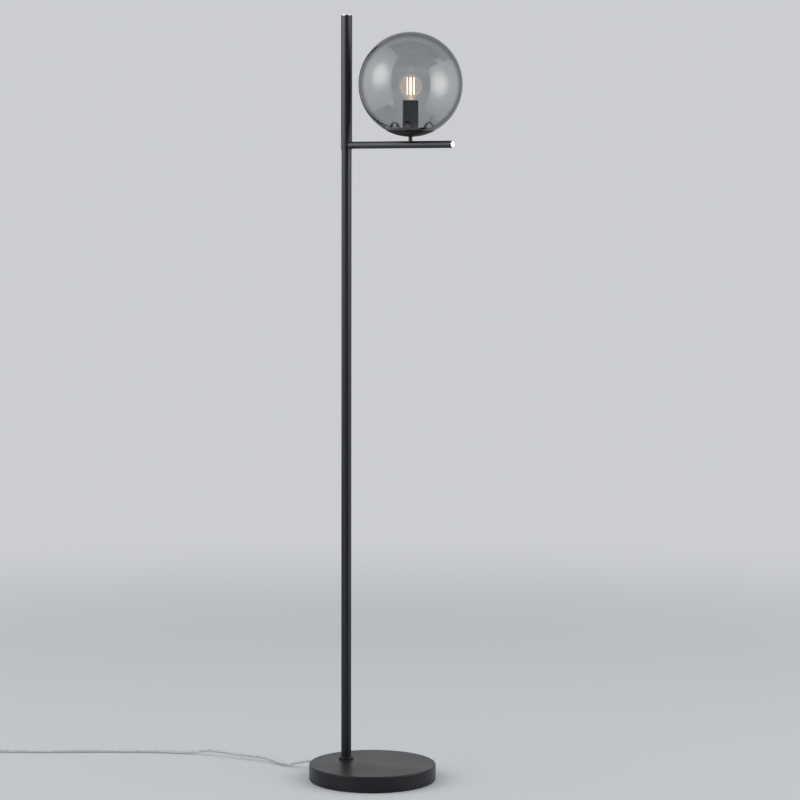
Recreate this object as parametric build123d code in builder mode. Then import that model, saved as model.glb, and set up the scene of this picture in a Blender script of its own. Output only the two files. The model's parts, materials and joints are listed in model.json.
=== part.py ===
from build123d import *
import math
import os

# Globe floor lamp. Millimetres, +Z up, origin at the centre of the base's underside.
# The arm points along +X, and the mains lead leaves the base towards -X.

os.makedirs("parts", exist_ok=True)

# ---------------------------------------------------------------- main sizes
TOTAL_H = 1500.0        # floor to the top of the pole's cap
BASE_D = 250.0
BASE_H = 32.0
POLE_INSET = 59.0       # pole axis inside the base's edge
POLE_D = 20.0
POLE_WALL = 1.0
TOP_TUBE_D = 22.0       # the last stretch of the pole is one tube size up
TOP_TUBE_WALL = 0.8
ARM_DROP = 253.0        # the arm's axis below the pole's top
ARM_MARGIN = 9.0        # the wider tube starts this far below the arm's axis
POLE_SEAM = 634.0       # height of the joint between the two lower pole tubes
ARM_REACH = 255.0       # pole axis to the end of the arm's tube
ARM_D = 14.0
ARM_WALL = 1.2
GLOBE_REACH = 156.0     # pole axis to globe axis
GLOBE_D = 200.0
GLOBE_WALL = 3.0
NECK_H = 8.0            # bare neck between the arm and the cup
NECK_D = 8.0
HOLDER_D = 30.0
HOLDER_L = 66.0
BULB_D = 45.0
BULB_LENGTH = 78.0
CORD_D = 5.6
CABLE_D = 3.4           # the inner cable, from the base to the holder

# ---------------------------------------------------------------- clearances
SLIP = 0.1              # tube round tube, thread in thread
LOOSE = 0.3             # a piece that drops into its place
TIGHT = 0.05            # a plug brazed into a tube

ARM_H = TOTAL_H - ARM_DROP
TOP_TUBE_END = ARM_H - ARM_MARGIN
POLE_X = POLE_INSET - BASE_D / 2
GLOBE_X = POLE_X + GLOBE_REACH
ARM_TOP = ARM_H + ARM_D / 2
GLOBE_R = GLOBE_D / 2
GLOBE_Z = ARM_TOP + NECK_H + GLOBE_R


def write(piece, label):
    """Label a finished piece and write it under its own name."""
    piece.label = label
    export_step(piece, f"parts/{label}.step")


def upright(x, z):
    """A vertical sketch plane through (x, 0, z): local x is +X, local y is +Z."""
    return Plane(origin=(x, 0, z), x_dir=(1, 0, 0), z_dir=(0, -1, 0))


def crosswise(x, z):
    """A sketch plane square to the arm at (x, 0, z): local x is +Y, local y is +Z."""
    return Plane(origin=(x, 0, z), x_dir=(0, 1, 0), z_dir=(1, 0, 0))


def tube(x, outer_d, inner_d, low, high):
    """A plain tube about the vertical axis at x."""
    with BuildPart() as made:
        with BuildSketch(Plane.XY.offset(low)):
            with Locations((x, 0)):
                Circle(outer_d / 2)
                Circle(inner_d / 2, mode=Mode.SUBTRACT)
        extrude(amount=high - low)
    return made


# ================================================================ base
PAD_T = 1.5
PAD_MARGIN = 5.0        # the felt ends this far inside the cover's wall
PLATE_T = 2.0
COVER_WALL = 2.0
COVER_TOP_T = 3.0
COVER_TOP_R = 2.5       # rolled top edge
COVER_FOOT_R = 1.0
WEIGHT_T = 19.5
WEIGHT_ROOM = 7.0       # all round the weight, inside the cover
RIB_INSET = 11.0        # raised rib that the cover rests on, inside the weight's edge
RIB_W = 8.0
BOSS_D = 50.0           # raised boss round the pole's stud
STUD_D = 10.0
STUD_BORE = 8.0
STUD_LOW = 9.0
STUD_IN_FOOT = 26.0     # thread held by the pole's foot
WASHER_D = 30.0
WASHER_T = 2.0
NUT_AF = 17.0
NUT_T = 4.0
NUT_SEAT = 16.0         # height of the seat in the weight's underside
RECESS_D = 40.0
CHANNEL_W = 30.0        # lead channel in the weight's underside
CHANNEL_TOP = 18.0
CHANNEL_LAP = 2.0       # how far the channel runs into the round recess
CORD_EXIT_H = 15.0      # height of the lead's axis at the base's wall
ENTRY_D = 10.0          # hole for the lead's grommet in the cover's wall
POCKET_D = 19.0         # room for the grommet's inner flange, in the weight's edge
POCKET_DEPTH = 8.0
FOOT_COLLAR_D = 29.0
FOOT_COLLAR_H = 4.5
FOOT_COLLAR_EDGE_R = 1.2
SCREW_D = 4.0
SCREW_HEAD_D = 7.6
SCREW_L = 12.0
SCREW_INSET = 21.0      # screws inside the weight's edge
SCREW_COUNT = 3

PLATE_TOP = PAD_T + PLATE_T
COVER_IN_R = BASE_D / 2 - COVER_WALL
COVER_IN_TOP = BASE_H - COVER_TOP_T
WEIGHT_TOP = PLATE_TOP + WEIGHT_T
WEIGHT_D = 2 * (COVER_IN_R - WEIGHT_ROOM)
SCREW_RING_R = WEIGHT_D / 2 - SCREW_INSET
STUD_HIGH = BASE_H + STUD_IN_FOOT

with BuildPart() as base_pad:
    with BuildSketch():
        Circle(BASE_D / 2 - PAD_MARGIN)
    extrude(amount=PAD_T)
write(base_pad.part, "base_pad")

with BuildPart() as base_plate:
    with BuildSketch(Plane.XY.offset(PAD_T)):
        Circle(COVER_IN_R - LOOSE)
    extrude(amount=PLATE_T)
    with Locations(Plane(origin=(0, 0, PAD_T), x_dir=(1, 0, 0), z_dir=(0, 0, -1))):
        with PolarLocations(SCREW_RING_R, SCREW_COUNT):
            CounterSinkHole(SCREW_D / 2 + SLIP, SCREW_HEAD_D / 2 + SLIP, counter_sink_angle=90)
write(base_plate.part, "base_plate")

with BuildPart() as one_screw:
    with BuildSketch(upright(0, PAD_T)):
        with BuildLine():
            Polyline((0, 0), (SCREW_HEAD_D / 2, 0), (SCREW_D / 2, (SCREW_HEAD_D - SCREW_D) / 2),
                     (SCREW_D / 2, SCREW_L), (0, SCREW_L), close=True)
        make_face()
    revolve(axis=Axis.Z)

with BuildPart() as plate_screws:
    with PolarLocations(SCREW_RING_R, SCREW_COUNT):
        add(one_screw.part)
write(plate_screws.part, "plate_screws")

with BuildPart() as base_cover:
    with BuildSketch(Plane.XY.offset(PAD_T)):
        Circle(BASE_D / 2)
    extrude(amount=BASE_H - PAD_T)
    fillet(base_cover.edges().group_by(Axis.Z)[-1], COVER_TOP_R)
    fillet(base_cover.edges().group_by(Axis.Z)[0], COVER_FOOT_R)
    with BuildSketch(Plane.XY.offset(PAD_T)):
        Circle(COVER_IN_R)
    extrude(amount=COVER_IN_TOP - PAD_T, mode=Mode.SUBTRACT)
    with BuildSketch(Plane.XY.offset(COVER_IN_TOP)):
        with Locations((POLE_X, 0)):
            Circle(STUD_D / 2 + LOOSE)
    extrude(amount=COVER_TOP_T, mode=Mode.SUBTRACT)
    with BuildSketch(Plane(origin=(0, 0, CORD_EXIT_H), z_dir=(-1, 0, 0))):
        Circle(ENTRY_D / 2)
    extrude(amount=BASE_D, mode=Mode.SUBTRACT)
write(base_cover.part, "base_cover")

with BuildPart() as base_weight:
    with BuildSketch(Plane.XY.offset(PLATE_TOP)):
        Circle(WEIGHT_D / 2)
    extrude(amount=WEIGHT_T)
    with BuildSketch(Plane.XY.offset(WEIGHT_TOP)):
        Circle(WEIGHT_D / 2 - RIB_INSET)
        Circle(WEIGHT_D / 2 - RIB_INSET - RIB_W, mode=Mode.SUBTRACT)
        with Locations((POLE_X, 0)):
            Circle(BOSS_D / 2)
    extrude(amount=COVER_IN_TOP - WEIGHT_TOP)
    with BuildSketch(Plane.XY.offset(PLATE_TOP)):
        with Locations((POLE_X, 0)):
            Circle(RECESS_D / 2)
    extrude(amount=NUT_SEAT - PLATE_TOP, mode=Mode.SUBTRACT)
    with BuildSketch(Plane.XY.offset(PLATE_TOP)):
        with Locations((POLE_X, 0)):
            Circle(STUD_D / 2 + LOOSE)
    extrude(amount=BASE_H, mode=Mode.SUBTRACT)
    with BuildSketch(Plane.XY.offset(PLATE_TOP)):
        with Locations((POLE_X - RECESS_D / 2 + CHANNEL_LAP, 0)):
            Rectangle(BASE_D, CHANNEL_W, align=(Align.MAX, Align.CENTER))
    extrude(amount=CHANNEL_TOP - PLATE_TOP, mode=Mode.SUBTRACT)
    with BuildSketch(Plane(origin=(-WEIGHT_D / 2 + POCKET_DEPTH, 0, CORD_EXIT_H), z_dir=(-1, 0, 0))):
        Circle(POCKET_D / 2)
    extrude(amount=BASE_D / 2, mode=Mode.SUBTRACT)
    with Locations(Plane(origin=(0, 0, PLATE_TOP), x_dir=(1, 0, 0), z_dir=(0, 0, -1))):
        with PolarLocations(SCREW_RING_R, SCREW_COUNT):
            Hole(SCREW_D / 2 + TIGHT, depth=SCREW_L)
write(base_weight.part, "base_weight")

base_stud = tube(POLE_X, STUD_D, STUD_BORE, STUD_LOW, STUD_HIGH)
write(base_stud.part, "base_stud")

stud_washer = tube(POLE_X, WASHER_D, STUD_D + 2 * SLIP, NUT_SEAT - WASHER_T, NUT_SEAT)
write(stud_washer.part, "stud_washer")

with BuildPart() as stud_nut:
    with BuildSketch(Plane.XY.offset(NUT_SEAT - WASHER_T - NUT_T)):
        with Locations((POLE_X, 0)):
            RegularPolygon(NUT_AF / 2, 6, major_radius=False)
            Circle(STUD_D / 2 + TIGHT, mode=Mode.SUBTRACT)
    extrude(amount=NUT_T)
write(stud_nut.part, "stud_nut")

with BuildPart() as base_collar:
    with BuildSketch(Plane.XY.offset(BASE_H)):
        with Locations((POLE_X, 0)):
            Circle(FOOT_COLLAR_D / 2)
            Circle(POLE_D / 2 + SLIP, mode=Mode.SUBTRACT)
    extrude(amount=FOOT_COLLAR_H)
    fillet(base_collar.edges().group_by(Axis.Z)[-1].sort_by(SortBy.LENGTH)[-1], FOOT_COLLAR_EDGE_R)
write(base_collar.part, "base_collar")

# ---------------------------------------------------------------- lead entry in the base
WALL_OUT = -BASE_D / 2
RELIEF_L = 22.0         # tapered relief outside the wall
RELIEF_TIP_WALL = 1.0
RELIEF_RINGS = 4
RING_PITCH = 4.2
RING_W = 1.6
RING_DEPTH = 1.8
RING_STEP = 0.25        # each ring is this much smaller than the one before
FLANGE_R = 6.6          # outer flange against the wall
FLANGE_T = 1.6
INNER_FLANGE_R = 7.2
INNER_FLANGE_T = 4.0
FLANGE_EDGE = 1.0
GROMMET_R = CORD_D / 2 + SLIP
GROOVE_R = ENTRY_D / 2 - 2 * SLIP
RELIEF_TIP = WALL_OUT - RELIEF_L
CLAMP_GAP = 6.5         # between the clamp and the terminal block
CLAMP_W = 9.0
CLAMP_T = 4.6
CLAMP_LOW = 9.8
CLAMP_SPAN = 26.0
CLAMP_EDGE_R = 1.2
CLAMP_SCREW_D = 3.0
CLAMP_HEAD_D = 5.4
CLAMP_HEAD_T = 2.0
CLAMP_SCREW_PITCH = 18.0
TERMINAL_L = 15.0
TERMINAL_W = 20.0
TERMINAL_WELL_D = 3.2   # screw wells in its underside
TERMINAL_WELL_DEPTH = 2.0
TERMINAL_WELL_PITCH = (7.0, 9.0)
TERMINAL_FLOOR_T = 0.5  # under the inner cable's bore
CABLE_LOW = 6.5         # height of the inner cable where it leaves the terminal block
TERMINAL_LOW = CABLE_LOW - CABLE_D / 2 - TERMINAL_FLOOR_T
TERMINAL_X = POLE_X - RECESS_D / 2 - TERMINAL_L
CLAMP_X = TERMINAL_X - CLAMP_GAP - CLAMP_W / 2


def lead_axis_plane():
    """Sketch plane of the lead entry: local x runs out of the base, local y away from its axis."""
    return Plane(origin=(WALL_OUT, 0, CORD_EXIT_H), x_dir=(-1, 0, 0), z_dir=(0, 1, 0))


inner_face = -COVER_WALL - LOOSE
inner_end = inner_face - INNER_FLANGE_T

with BuildPart() as cord_grommet:
    with BuildSketch(lead_axis_plane()):
        with BuildLine():
            Polyline((inner_end, GROMMET_R), (inner_end, INNER_FLANGE_R - FLANGE_EDGE),
                     (inner_end + FLANGE_EDGE, INNER_FLANGE_R), (inner_face, INNER_FLANGE_R),
                     (inner_face, GROOVE_R), (SLIP, GROOVE_R), (SLIP, FLANGE_R), (FLANGE_T, FLANGE_R),
                     (FLANGE_T + FLANGE_EDGE, FLANGE_R - FLANGE_EDGE),
                     (RELIEF_L, GROMMET_R + RELIEF_TIP_WALL), (RELIEF_L, GROMMET_R), close=True)
        make_face()
        for ring in range(RELIEF_RINGS):
            with Locations((FLANGE_T + RING_PITCH * (ring + 1), FLANGE_R - FLANGE_EDGE - RING_STEP * ring)):
                Rectangle(RING_W, RING_DEPTH, mode=Mode.SUBTRACT)
    revolve(axis=Axis((0, 0, CORD_EXIT_H), (1, 0, 0)))
write(cord_grommet.part, "cord_grommet")

with BuildPart() as cord_inlet:
    with BuildSketch(crosswise(RELIEF_TIP, CORD_EXIT_H)):
        Circle(CORD_D / 2)
    extrude(amount=TERMINAL_X - RELIEF_TIP)
write(cord_inlet.part, "cord_inlet")

with BuildPart() as cord_clamp:
    with BuildSketch(crosswise(CLAMP_X - CLAMP_W / 2, CORD_EXIT_H)):
        with Locations((0, CLAMP_LOW + CLAMP_T / 2 - CORD_EXIT_H)):
            RectangleRounded(CLAMP_SPAN, CLAMP_T, CLAMP_EDGE_R)
        Circle(CORD_D / 2 + TIGHT, mode=Mode.SUBTRACT)
    extrude(amount=CLAMP_W)
    with BuildSketch(Plane.XY.offset(CLAMP_LOW)):
        with Locations((CLAMP_X, CLAMP_SCREW_PITCH / 2), (CLAMP_X, -CLAMP_SCREW_PITCH / 2)):
            Circle(CLAMP_SCREW_D / 2 + SLIP)
    extrude(amount=CLAMP_T, mode=Mode.SUBTRACT)
write(cord_clamp.part, "cord_clamp")

with BuildPart() as clamp_screws:
    with BuildSketch(Plane.XY.offset(CLAMP_LOW - CLAMP_HEAD_T)):
        with Locations((CLAMP_X, CLAMP_SCREW_PITCH / 2), (CLAMP_X, -CLAMP_SCREW_PITCH / 2)):
            Circle(CLAMP_HEAD_D / 2)
    extrude(amount=CLAMP_HEAD_T)
    with BuildSketch(Plane.XY.offset(CLAMP_LOW)):
        with Locations((CLAMP_X, CLAMP_SCREW_PITCH / 2), (CLAMP_X, -CLAMP_SCREW_PITCH / 2)):
            Circle(CLAMP_SCREW_D / 2)
    extrude(amount=CHANNEL_TOP - CLAMP_LOW)
write(clamp_screws.part, "clamp_screws")

with BuildPart() as terminal_block:
    with BuildSketch(Plane.XY.offset(TERMINAL_LOW)):
        with Locations((TERMINAL_X, 0)):
            Rectangle(TERMINAL_L, TERMINAL_W, align=(Align.MIN, Align.CENTER))
    extrude(amount=CHANNEL_TOP - TERMINAL_LOW)
    with BuildSketch(Plane.XY.offset(TERMINAL_LOW)):
        with Locations((TERMINAL_X + TERMINAL_L / 2, 0)):
            with GridLocations(*TERMINAL_WELL_PITCH, 2, 2):
                Circle(TERMINAL_WELL_D / 2)
    extrude(amount=TERMINAL_WELL_DEPTH, mode=Mode.SUBTRACT)
write(terminal_block.part, "terminal_block")

# ================================================================ pole
FOOT_L = 30.0
COUPLER_L = 60.0
BLOCK_SPIGOT_L = 30.0
BLOCK_BODY_L = 30.0
BLOCK_BORE = 10.0
LEAD_IN = 1.2           # chamfer on an end that slides into a tube
ARM_STUD_D = 8.0
ARM_STUD_BORE = 5.5
CAP_PROUD = 1.6         # the polished caps stand this far out of their tubes
CAP_SPIGOT_L = 12.0
CAP_CROWN = 0.3         # rise of a cap's slightly domed face
CAP_LEAD_IN = 0.8

pole_in_d = POLE_D - 2 * POLE_WALL
top_in_d = TOP_TUBE_D - 2 * TOP_TUBE_WALL
top_tube_top = TOTAL_H - CAP_PROUD

pole_foot = tube(POLE_X, pole_in_d - 2 * TIGHT, STUD_D + 2 * TIGHT, BASE_H, BASE_H + FOOT_L)
write(pole_foot.part, "pole_foot")

pole_lower = tube(POLE_X, POLE_D, pole_in_d, BASE_H, POLE_SEAM)
write(pole_lower.part, "pole_lower")

with BuildPart() as pole_coupler:
    with BuildSketch(Plane.XY.offset(POLE_SEAM - COUPLER_L / 2)):
        with Locations((POLE_X, 0)):
            Circle(pole_in_d / 2 - TIGHT)
            Circle(BLOCK_BORE / 2, mode=Mode.SUBTRACT)
    extrude(amount=COUPLER_L)
    chamfer(pole_coupler.edges().filter_by(GeomType.CIRCLE), LEAD_IN)
write(pole_coupler.part, "pole_coupler")

pole_middle = tube(POLE_X, POLE_D, pole_in_d, POLE_SEAM, TOP_TUBE_END)
write(pole_middle.part, "pole_middle")

with BuildPart() as head_block:
    with BuildSketch(upright(POLE_X, TOP_TUBE_END)):
        with BuildLine():
            Polyline((BLOCK_BORE / 2, -BLOCK_SPIGOT_L), (pole_in_d / 2 - LEAD_IN, -BLOCK_SPIGOT_L),
                     (pole_in_d / 2 - TIGHT, LEAD_IN - BLOCK_SPIGOT_L), (pole_in_d / 2 - TIGHT, 0),
                     (top_in_d / 2 - TIGHT, 0), (top_in_d / 2 - TIGHT, BLOCK_BODY_L - LEAD_IN),
                     (top_in_d / 2 - LEAD_IN, BLOCK_BODY_L), (BLOCK_BORE / 2, BLOCK_BODY_L), close=True)
        make_face()
    revolve(axis=Axis((POLE_X, 0, 0), (0, 0, 1)))
    with BuildSketch(crosswise(POLE_X, ARM_H)):
        Circle(ARM_STUD_D / 2 + TIGHT)
    extrude(amount=POLE_D, mode=Mode.SUBTRACT)
write(head_block.part, "head_block")

with BuildPart() as pole_top:
    with BuildSketch(Plane.XY.offset(TOP_TUBE_END)):
        with Locations((POLE_X, 0)):
            Circle(TOP_TUBE_D / 2)
            Circle(top_in_d / 2, mode=Mode.SUBTRACT)
    extrude(amount=top_tube_top - TOP_TUBE_END)
    with BuildSketch(crosswise(POLE_X, ARM_H)):
        Circle(ARM_STUD_D / 2 + SLIP)
    extrude(amount=POLE_D, mode=Mode.SUBTRACT)
write(pole_top.part, "pole_top")


def cap_profile(tube_in_d):
    """Half section of a polished plug: spigot below local y = 0, slightly crowned disc above."""
    disc_r = tube_in_d / 2 - SLIP
    crown_r = disc_r**2 / (2 * CAP_CROWN)
    crown_turn = math.degrees(math.asin(disc_r / crown_r))
    with BuildSketch(Plane.XY) as half:
        with BuildLine():
            Line((0, -CAP_SPIGOT_L), (disc_r - CAP_LEAD_IN, -CAP_SPIGOT_L))
            Line((disc_r - CAP_LEAD_IN, -CAP_SPIGOT_L), (disc_r, CAP_LEAD_IN - CAP_SPIGOT_L))
            crown = CenterArc((0, CAP_PROUD - crown_r), crown_r, 90 - crown_turn, crown_turn)
            Line((disc_r, CAP_LEAD_IN - CAP_SPIGOT_L), crown @ 0)
            Line(crown @ 1, (0, -CAP_SPIGOT_L))
        make_face()
    return half.sketch


with BuildPart() as pole_cap:
    with BuildSketch(upright(POLE_X, top_tube_top)):
        add(cap_profile(top_in_d))
    revolve(axis=Axis((POLE_X, 0, 0), (0, 0, 1)))
write(pole_cap.part, "pole_cap")

# ================================================================ arm
arm_in_d = ARM_D - 2 * ARM_WALL
arm_end = POLE_X + ARM_REACH
arm_root = POLE_X + TOP_TUBE_D / 2
ROOT_PLUG_L = 18.0
ROOT_PLUG_GAP = 2.0     # the plug sits this far inside the coped end
BOSS_L = 20.0
STUD_END_GAP = 0.5      # the stud stops this far short of the block's bore
STUD_IN_PLUG = 16.0
CABLE_ROOM = 0.6        # all round the cable, in the boss
NIPPLE_D = 6.0
NIPPLE_BORE = 4.4

with BuildPart() as arm_tube:
    with BuildSketch(crosswise(POLE_X, ARM_H)):
        Circle(ARM_D / 2)
        Circle(arm_in_d / 2, mode=Mode.SUBTRACT)
    extrude(amount=ARM_REACH)
    with BuildSketch(Plane.XY.offset(ARM_H - ARM_D)):
        with Locations((POLE_X, 0)):
            Circle(TOP_TUBE_D / 2)
    extrude(amount=2 * ARM_D, mode=Mode.SUBTRACT)
    with BuildSketch(Plane.XY.offset(ARM_H)):
        with Locations((GLOBE_X, 0)):
            Circle(NIPPLE_D / 2 + SLIP)
    extrude(amount=ARM_D, mode=Mode.SUBTRACT)
write(arm_tube.part, "arm_tube")

with BuildPart() as arm_root_plug:
    with BuildSketch(crosswise(arm_root + ROOT_PLUG_GAP, ARM_H)):
        Circle(arm_in_d / 2 - TIGHT)
        Circle(ARM_STUD_D / 2 + TIGHT, mode=Mode.SUBTRACT)
    extrude(amount=ROOT_PLUG_L)
write(arm_root_plug.part, "arm_root_plug")

stud_from = POLE_X + BLOCK_BORE / 2 + STUD_END_GAP

with BuildPart() as arm_stud:
    with BuildSketch(crosswise(stud_from, ARM_H)):
        Circle(ARM_STUD_D / 2)
        Circle(ARM_STUD_BORE / 2, mode=Mode.SUBTRACT)
    extrude(amount=arm_root + ROOT_PLUG_GAP + STUD_IN_PLUG - stud_from)
write(arm_stud.part, "arm_stud")

with BuildPart() as arm_cap:
    with BuildSketch(Plane(origin=(arm_end, 0, ARM_H), x_dir=(0, 0, 1), z_dir=(0, 1, 0))):
        add(cap_profile(arm_in_d))
    revolve(axis=Axis((0, 0, ARM_H), (1, 0, 0)))
write(arm_cap.part, "arm_cap")

with BuildPart() as arm_boss:
    with BuildSketch(crosswise(GLOBE_X - BOSS_L / 2, ARM_H)):
        Circle(arm_in_d / 2 - TIGHT)
    extrude(amount=BOSS_L)
    with BuildSketch(crosswise(GLOBE_X - BOSS_L / 2, ARM_H)):
        Circle(CABLE_D / 2 + CABLE_ROOM)
    extrude(amount=BOSS_L / 2, mode=Mode.SUBTRACT)
    with BuildSketch(Plane.XY.offset(ARM_H - CABLE_D / 2)):
        with Locations((GLOBE_X, 0)):
            Circle(NIPPLE_D / 2 + TIGHT)
    extrude(amount=ARM_D, mode=Mode.SUBTRACT)
write(arm_boss.part, "arm_boss")

# ================================================================ globe cup
# Heights in this section are measured from the globe's centre.
MOUTH_RISE = 12.0       # ground edge of the globe's mouth above its lowest point
LEDGE_SET = 1.2         # the cup's ledge ends this far inside the glass
CUP_T = 1.4
SPRING_FOOT_GAP = 1.0   # flat foot of each spring arm past the holder
FLOOR_PAST = 0.55       # the cup's flat floor past that foot
CUP_COLLAR_ROOM = 0.8   # between the cup's collar and the mouth
CUP_COLLAR_WALL = 1.0
CUP_COLLAR_H = 5.5      # the collar stands this far up into the mouth

glass_in_r = GLOBE_R - GLOBE_WALL
OPENING = MOUTH_RISE - GLOBE_R
LEDGE_R = math.sqrt(GLOBE_R**2 - OPENING**2) - LEDGE_SET
CUP_COLLAR_R = math.sqrt(glass_in_r**2 - OPENING**2) - CUP_COLLAR_ROOM
floor_r = HOLDER_D / 2 + SPRING_FOOT_GAP + FLOOR_PAST
CUP_FLOOR = -math.sqrt((GLOBE_R - CUP_T)**2 - floor_r**2)

with BuildSketch(Plane.XY) as cup_hollow:
    Circle(GLOBE_R - CUP_T)
    with Locations((0, CUP_FLOOR)):
        Rectangle(CUP_COLLAR_R - CUP_COLLAR_WALL, GLOBE_R, align=(Align.MIN, Align.MIN),
                  mode=Mode.INTERSECT)

with BuildPart() as globe_cup:
    with BuildSketch(upright(GLOBE_X, GLOBE_Z)):
        Circle(GLOBE_R)
        with Locations((0, OPENING)):
            Rectangle(LEDGE_R, GLOBE_R, align=(Align.MIN, Align.MAX), mode=Mode.INTERSECT)
        with Locations((CUP_COLLAR_R, OPENING - CUP_T / 2)):
            Rectangle(CUP_COLLAR_WALL, CUP_COLLAR_H + CUP_T / 2, align=(Align.MAX, Align.MIN))
        add(cup_hollow.sketch, mode=Mode.SUBTRACT)
        with Locations((0, -GLOBE_R)):
            Rectangle(NIPPLE_D / 2 + SLIP, MOUTH_RISE, align=(Align.MIN, Align.CENTER),
                      mode=Mode.SUBTRACT)
    revolve(axis=Axis((GLOBE_X, 0, 0), (0, 0, 1)))
write(globe_cup.part, "globe_cup")

with BuildPart() as neck_sleeve:
    with BuildSketch(Plane.XY.offset(ARM_H)):
        with Locations((GLOBE_X, 0)):
            Circle(NECK_D / 2)
            Circle(NIPPLE_D / 2 + SLIP, mode=Mode.SUBTRACT)
    extrude(amount=GLOBE_Z - GLOBE_R - ARM_H)
    with BuildSketch(crosswise(GLOBE_X, ARM_H)):
        Circle(ARM_D / 2)
    extrude(amount=NECK_D, both=True, mode=Mode.SUBTRACT)
write(neck_sleeve.part, "neck_sleeve")

# ---------------------------------------------------------------- three-armed globe spring
SPRING_T = 0.6
SPRING_W = 9.0
SPRING_HUB_D = 26.0
SPRING_ARMS = 3
SPRING_BEND = 2.0
SPRING_TIP_CLEAR = 0.4
SPRING_ROOT_R = 8.0
SPRING_TIP_OUT = 8.5    # tip outside the collar's wall

spring_mid = CUP_FLOOR + SPRING_T / 2
spring_tip_r = CUP_COLLAR_R + SPRING_TIP_OUT
spring_tip_z = -math.sqrt((glass_in_r - SPRING_TIP_CLEAR - SPRING_T)**2 - spring_tip_r**2)
# Each arm rises inside the collar, bows over its rim and comes down to touch the glass.
spring_line = [(SPRING_ROOT_R, spring_mid), (HOLDER_D / 2 + SPRING_FOOT_GAP, spring_mid),
               (CUP_COLLAR_R - 12.0, OPENING + 3.5), (CUP_COLLAR_R - 6.5, OPENING + 14.0),
               (CUP_COLLAR_R - 0.5, OPENING + 16.2), (CUP_COLLAR_R + 4.5, OPENING + 12.5),
               (spring_tip_r, spring_tip_z)]

with BuildPart() as globe_spring:
    with BuildSketch(Plane.XY.offset(GLOBE_Z + CUP_FLOOR)):
        with Locations((GLOBE_X, 0)):
            Circle(SPRING_HUB_D / 2)
            Circle(NIPPLE_D / 2 + SLIP, mode=Mode.SUBTRACT)
    extrude(amount=SPRING_T)
    for arm in range(SPRING_ARMS):
        turn = math.radians(180 + 360 / SPRING_ARMS * arm)
        radial = Plane(origin=(GLOBE_X, 0, GLOBE_Z), x_dir=(math.cos(turn), math.sin(turn), 0),
                       z_dir=(math.sin(turn), -math.cos(turn), 0))
        with BuildLine(radial) as bent:
            FilletPolyline(*spring_line, radius=SPRING_BEND)
        with BuildSketch(Plane(origin=bent.line @ 0, x_dir=radial.z_dir, z_dir=radial.x_dir)):
            Rectangle(SPRING_W, SPRING_T)
        sweep(path=bent.line)
    with BuildSketch(Plane.XY.offset(GLOBE_Z + CUP_FLOOR)):
        with Locations((GLOBE_X, 0)):
            Circle(NIPPLE_D / 2 + SLIP)
    extrude(amount=SPRING_T, mode=Mode.SUBTRACT)
write(globe_spring.part, "globe_spring")

# ================================================================ lampholder
# Heights in this section and the next are measured from the holder's seat on the spring.
HOLDER_WALL = 1.0
HOLDER_FLOOR_T = 1.5
WINDOW_W = 12.0
WINDOW_H = 4.0
WINDOW_Z = 27.6
WINDOW_TURNS = (65.0, -65.0)
WINDOW_R = 1.0
LUG_R = 0.8             # corner of the body's lug that fills a window
LUG_BACK = 0.2          # the lug stays this far behind the sleeve's face
SHELL_IN_R = 7.35
SHELL_WALL = 0.5
SHELL_LOW = 34.6
SHELL_H = 23.0
BODY_LOW = 8.6
BODY_SUNK = 2.4         # the body's top below the sleeve's rim
MOUTH_CONE = 2.0        # between the shell and the body's open mouth
THROAT_R = 9.9          # the body's open mouth, round the bulb's neck
BODY_EDGE = 1.0
WELL_R = 6.4            # well under the bulb's cap, for the contact strip
WELL_DEPTH = 4.0
WELL_LOW = SHELL_LOW - WELL_DEPTH
CABLE_HOLE_ROOM = 0.4   # all round the cable, in the body's floor
CABLE_HOLE_R = CABLE_D / 2 + CABLE_HOLE_ROOM
NIPPLE_NUT_AF = 10.0
NIPPLE_NUT_T = 3.0
NIPPLE_PROUD = 1.0
NIPPLE_OVER_CABLE = 0.7
NIPPLE_LOW = ARM_H + CABLE_D / 2 + NIPPLE_OVER_CABLE

seat_z = GLOBE_Z + CUP_FLOOR + SPRING_T
shell_top = SHELL_LOW + SHELL_H
body_top = HOLDER_L - BODY_SUNK
nipple_top = HOLDER_FLOOR_T + NIPPLE_NUT_T + NIPPLE_PROUD
body_r = HOLDER_D / 2 - HOLDER_WALL - LOOSE
shell_seat_r = SHELL_IN_R + SHELL_WALL + TIGHT


def window_slots(depth_from, depth_to):
    """Cutting or filling blocks for the holder's side windows, between two radii."""
    slots = []
    for turn in WINDOW_TURNS:
        angle = math.radians(turn)
        face = Plane(origin=(GLOBE_X + depth_from * math.cos(angle), depth_from * math.sin(angle),
                             seat_z + WINDOW_Z),
                     x_dir=(-math.sin(angle), math.cos(angle), 0),
                     z_dir=(math.cos(angle), math.sin(angle), 0))
        slots.append((face, depth_to - depth_from))
    return slots


with BuildPart() as holder_sleeve:
    with BuildSketch(Plane.XY.offset(seat_z)):
        with Locations((GLOBE_X, 0)):
            Circle(HOLDER_D / 2)
    extrude(amount=HOLDER_L)
    with BuildSketch(Plane.XY.offset(seat_z + HOLDER_FLOOR_T)):
        with Locations((GLOBE_X, 0)):
            Circle(HOLDER_D / 2 - HOLDER_WALL)
    extrude(amount=HOLDER_L, mode=Mode.SUBTRACT)
    with BuildSketch(Plane.XY.offset(seat_z)):
        with Locations((GLOBE_X, 0)):
            Circle(NIPPLE_D / 2 + SLIP)
    extrude(amount=HOLDER_FLOOR_T, mode=Mode.SUBTRACT)
    for face, depth in window_slots(body_r - BODY_EDGE, HOLDER_D / 2 + HOLDER_WALL):
        with BuildSketch(face):
            RectangleRounded(WINDOW_W, WINDOW_H, WINDOW_R)
        extrude(amount=depth, mode=Mode.SUBTRACT)
write(holder_sleeve.part, "holder_sleeve")

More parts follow.
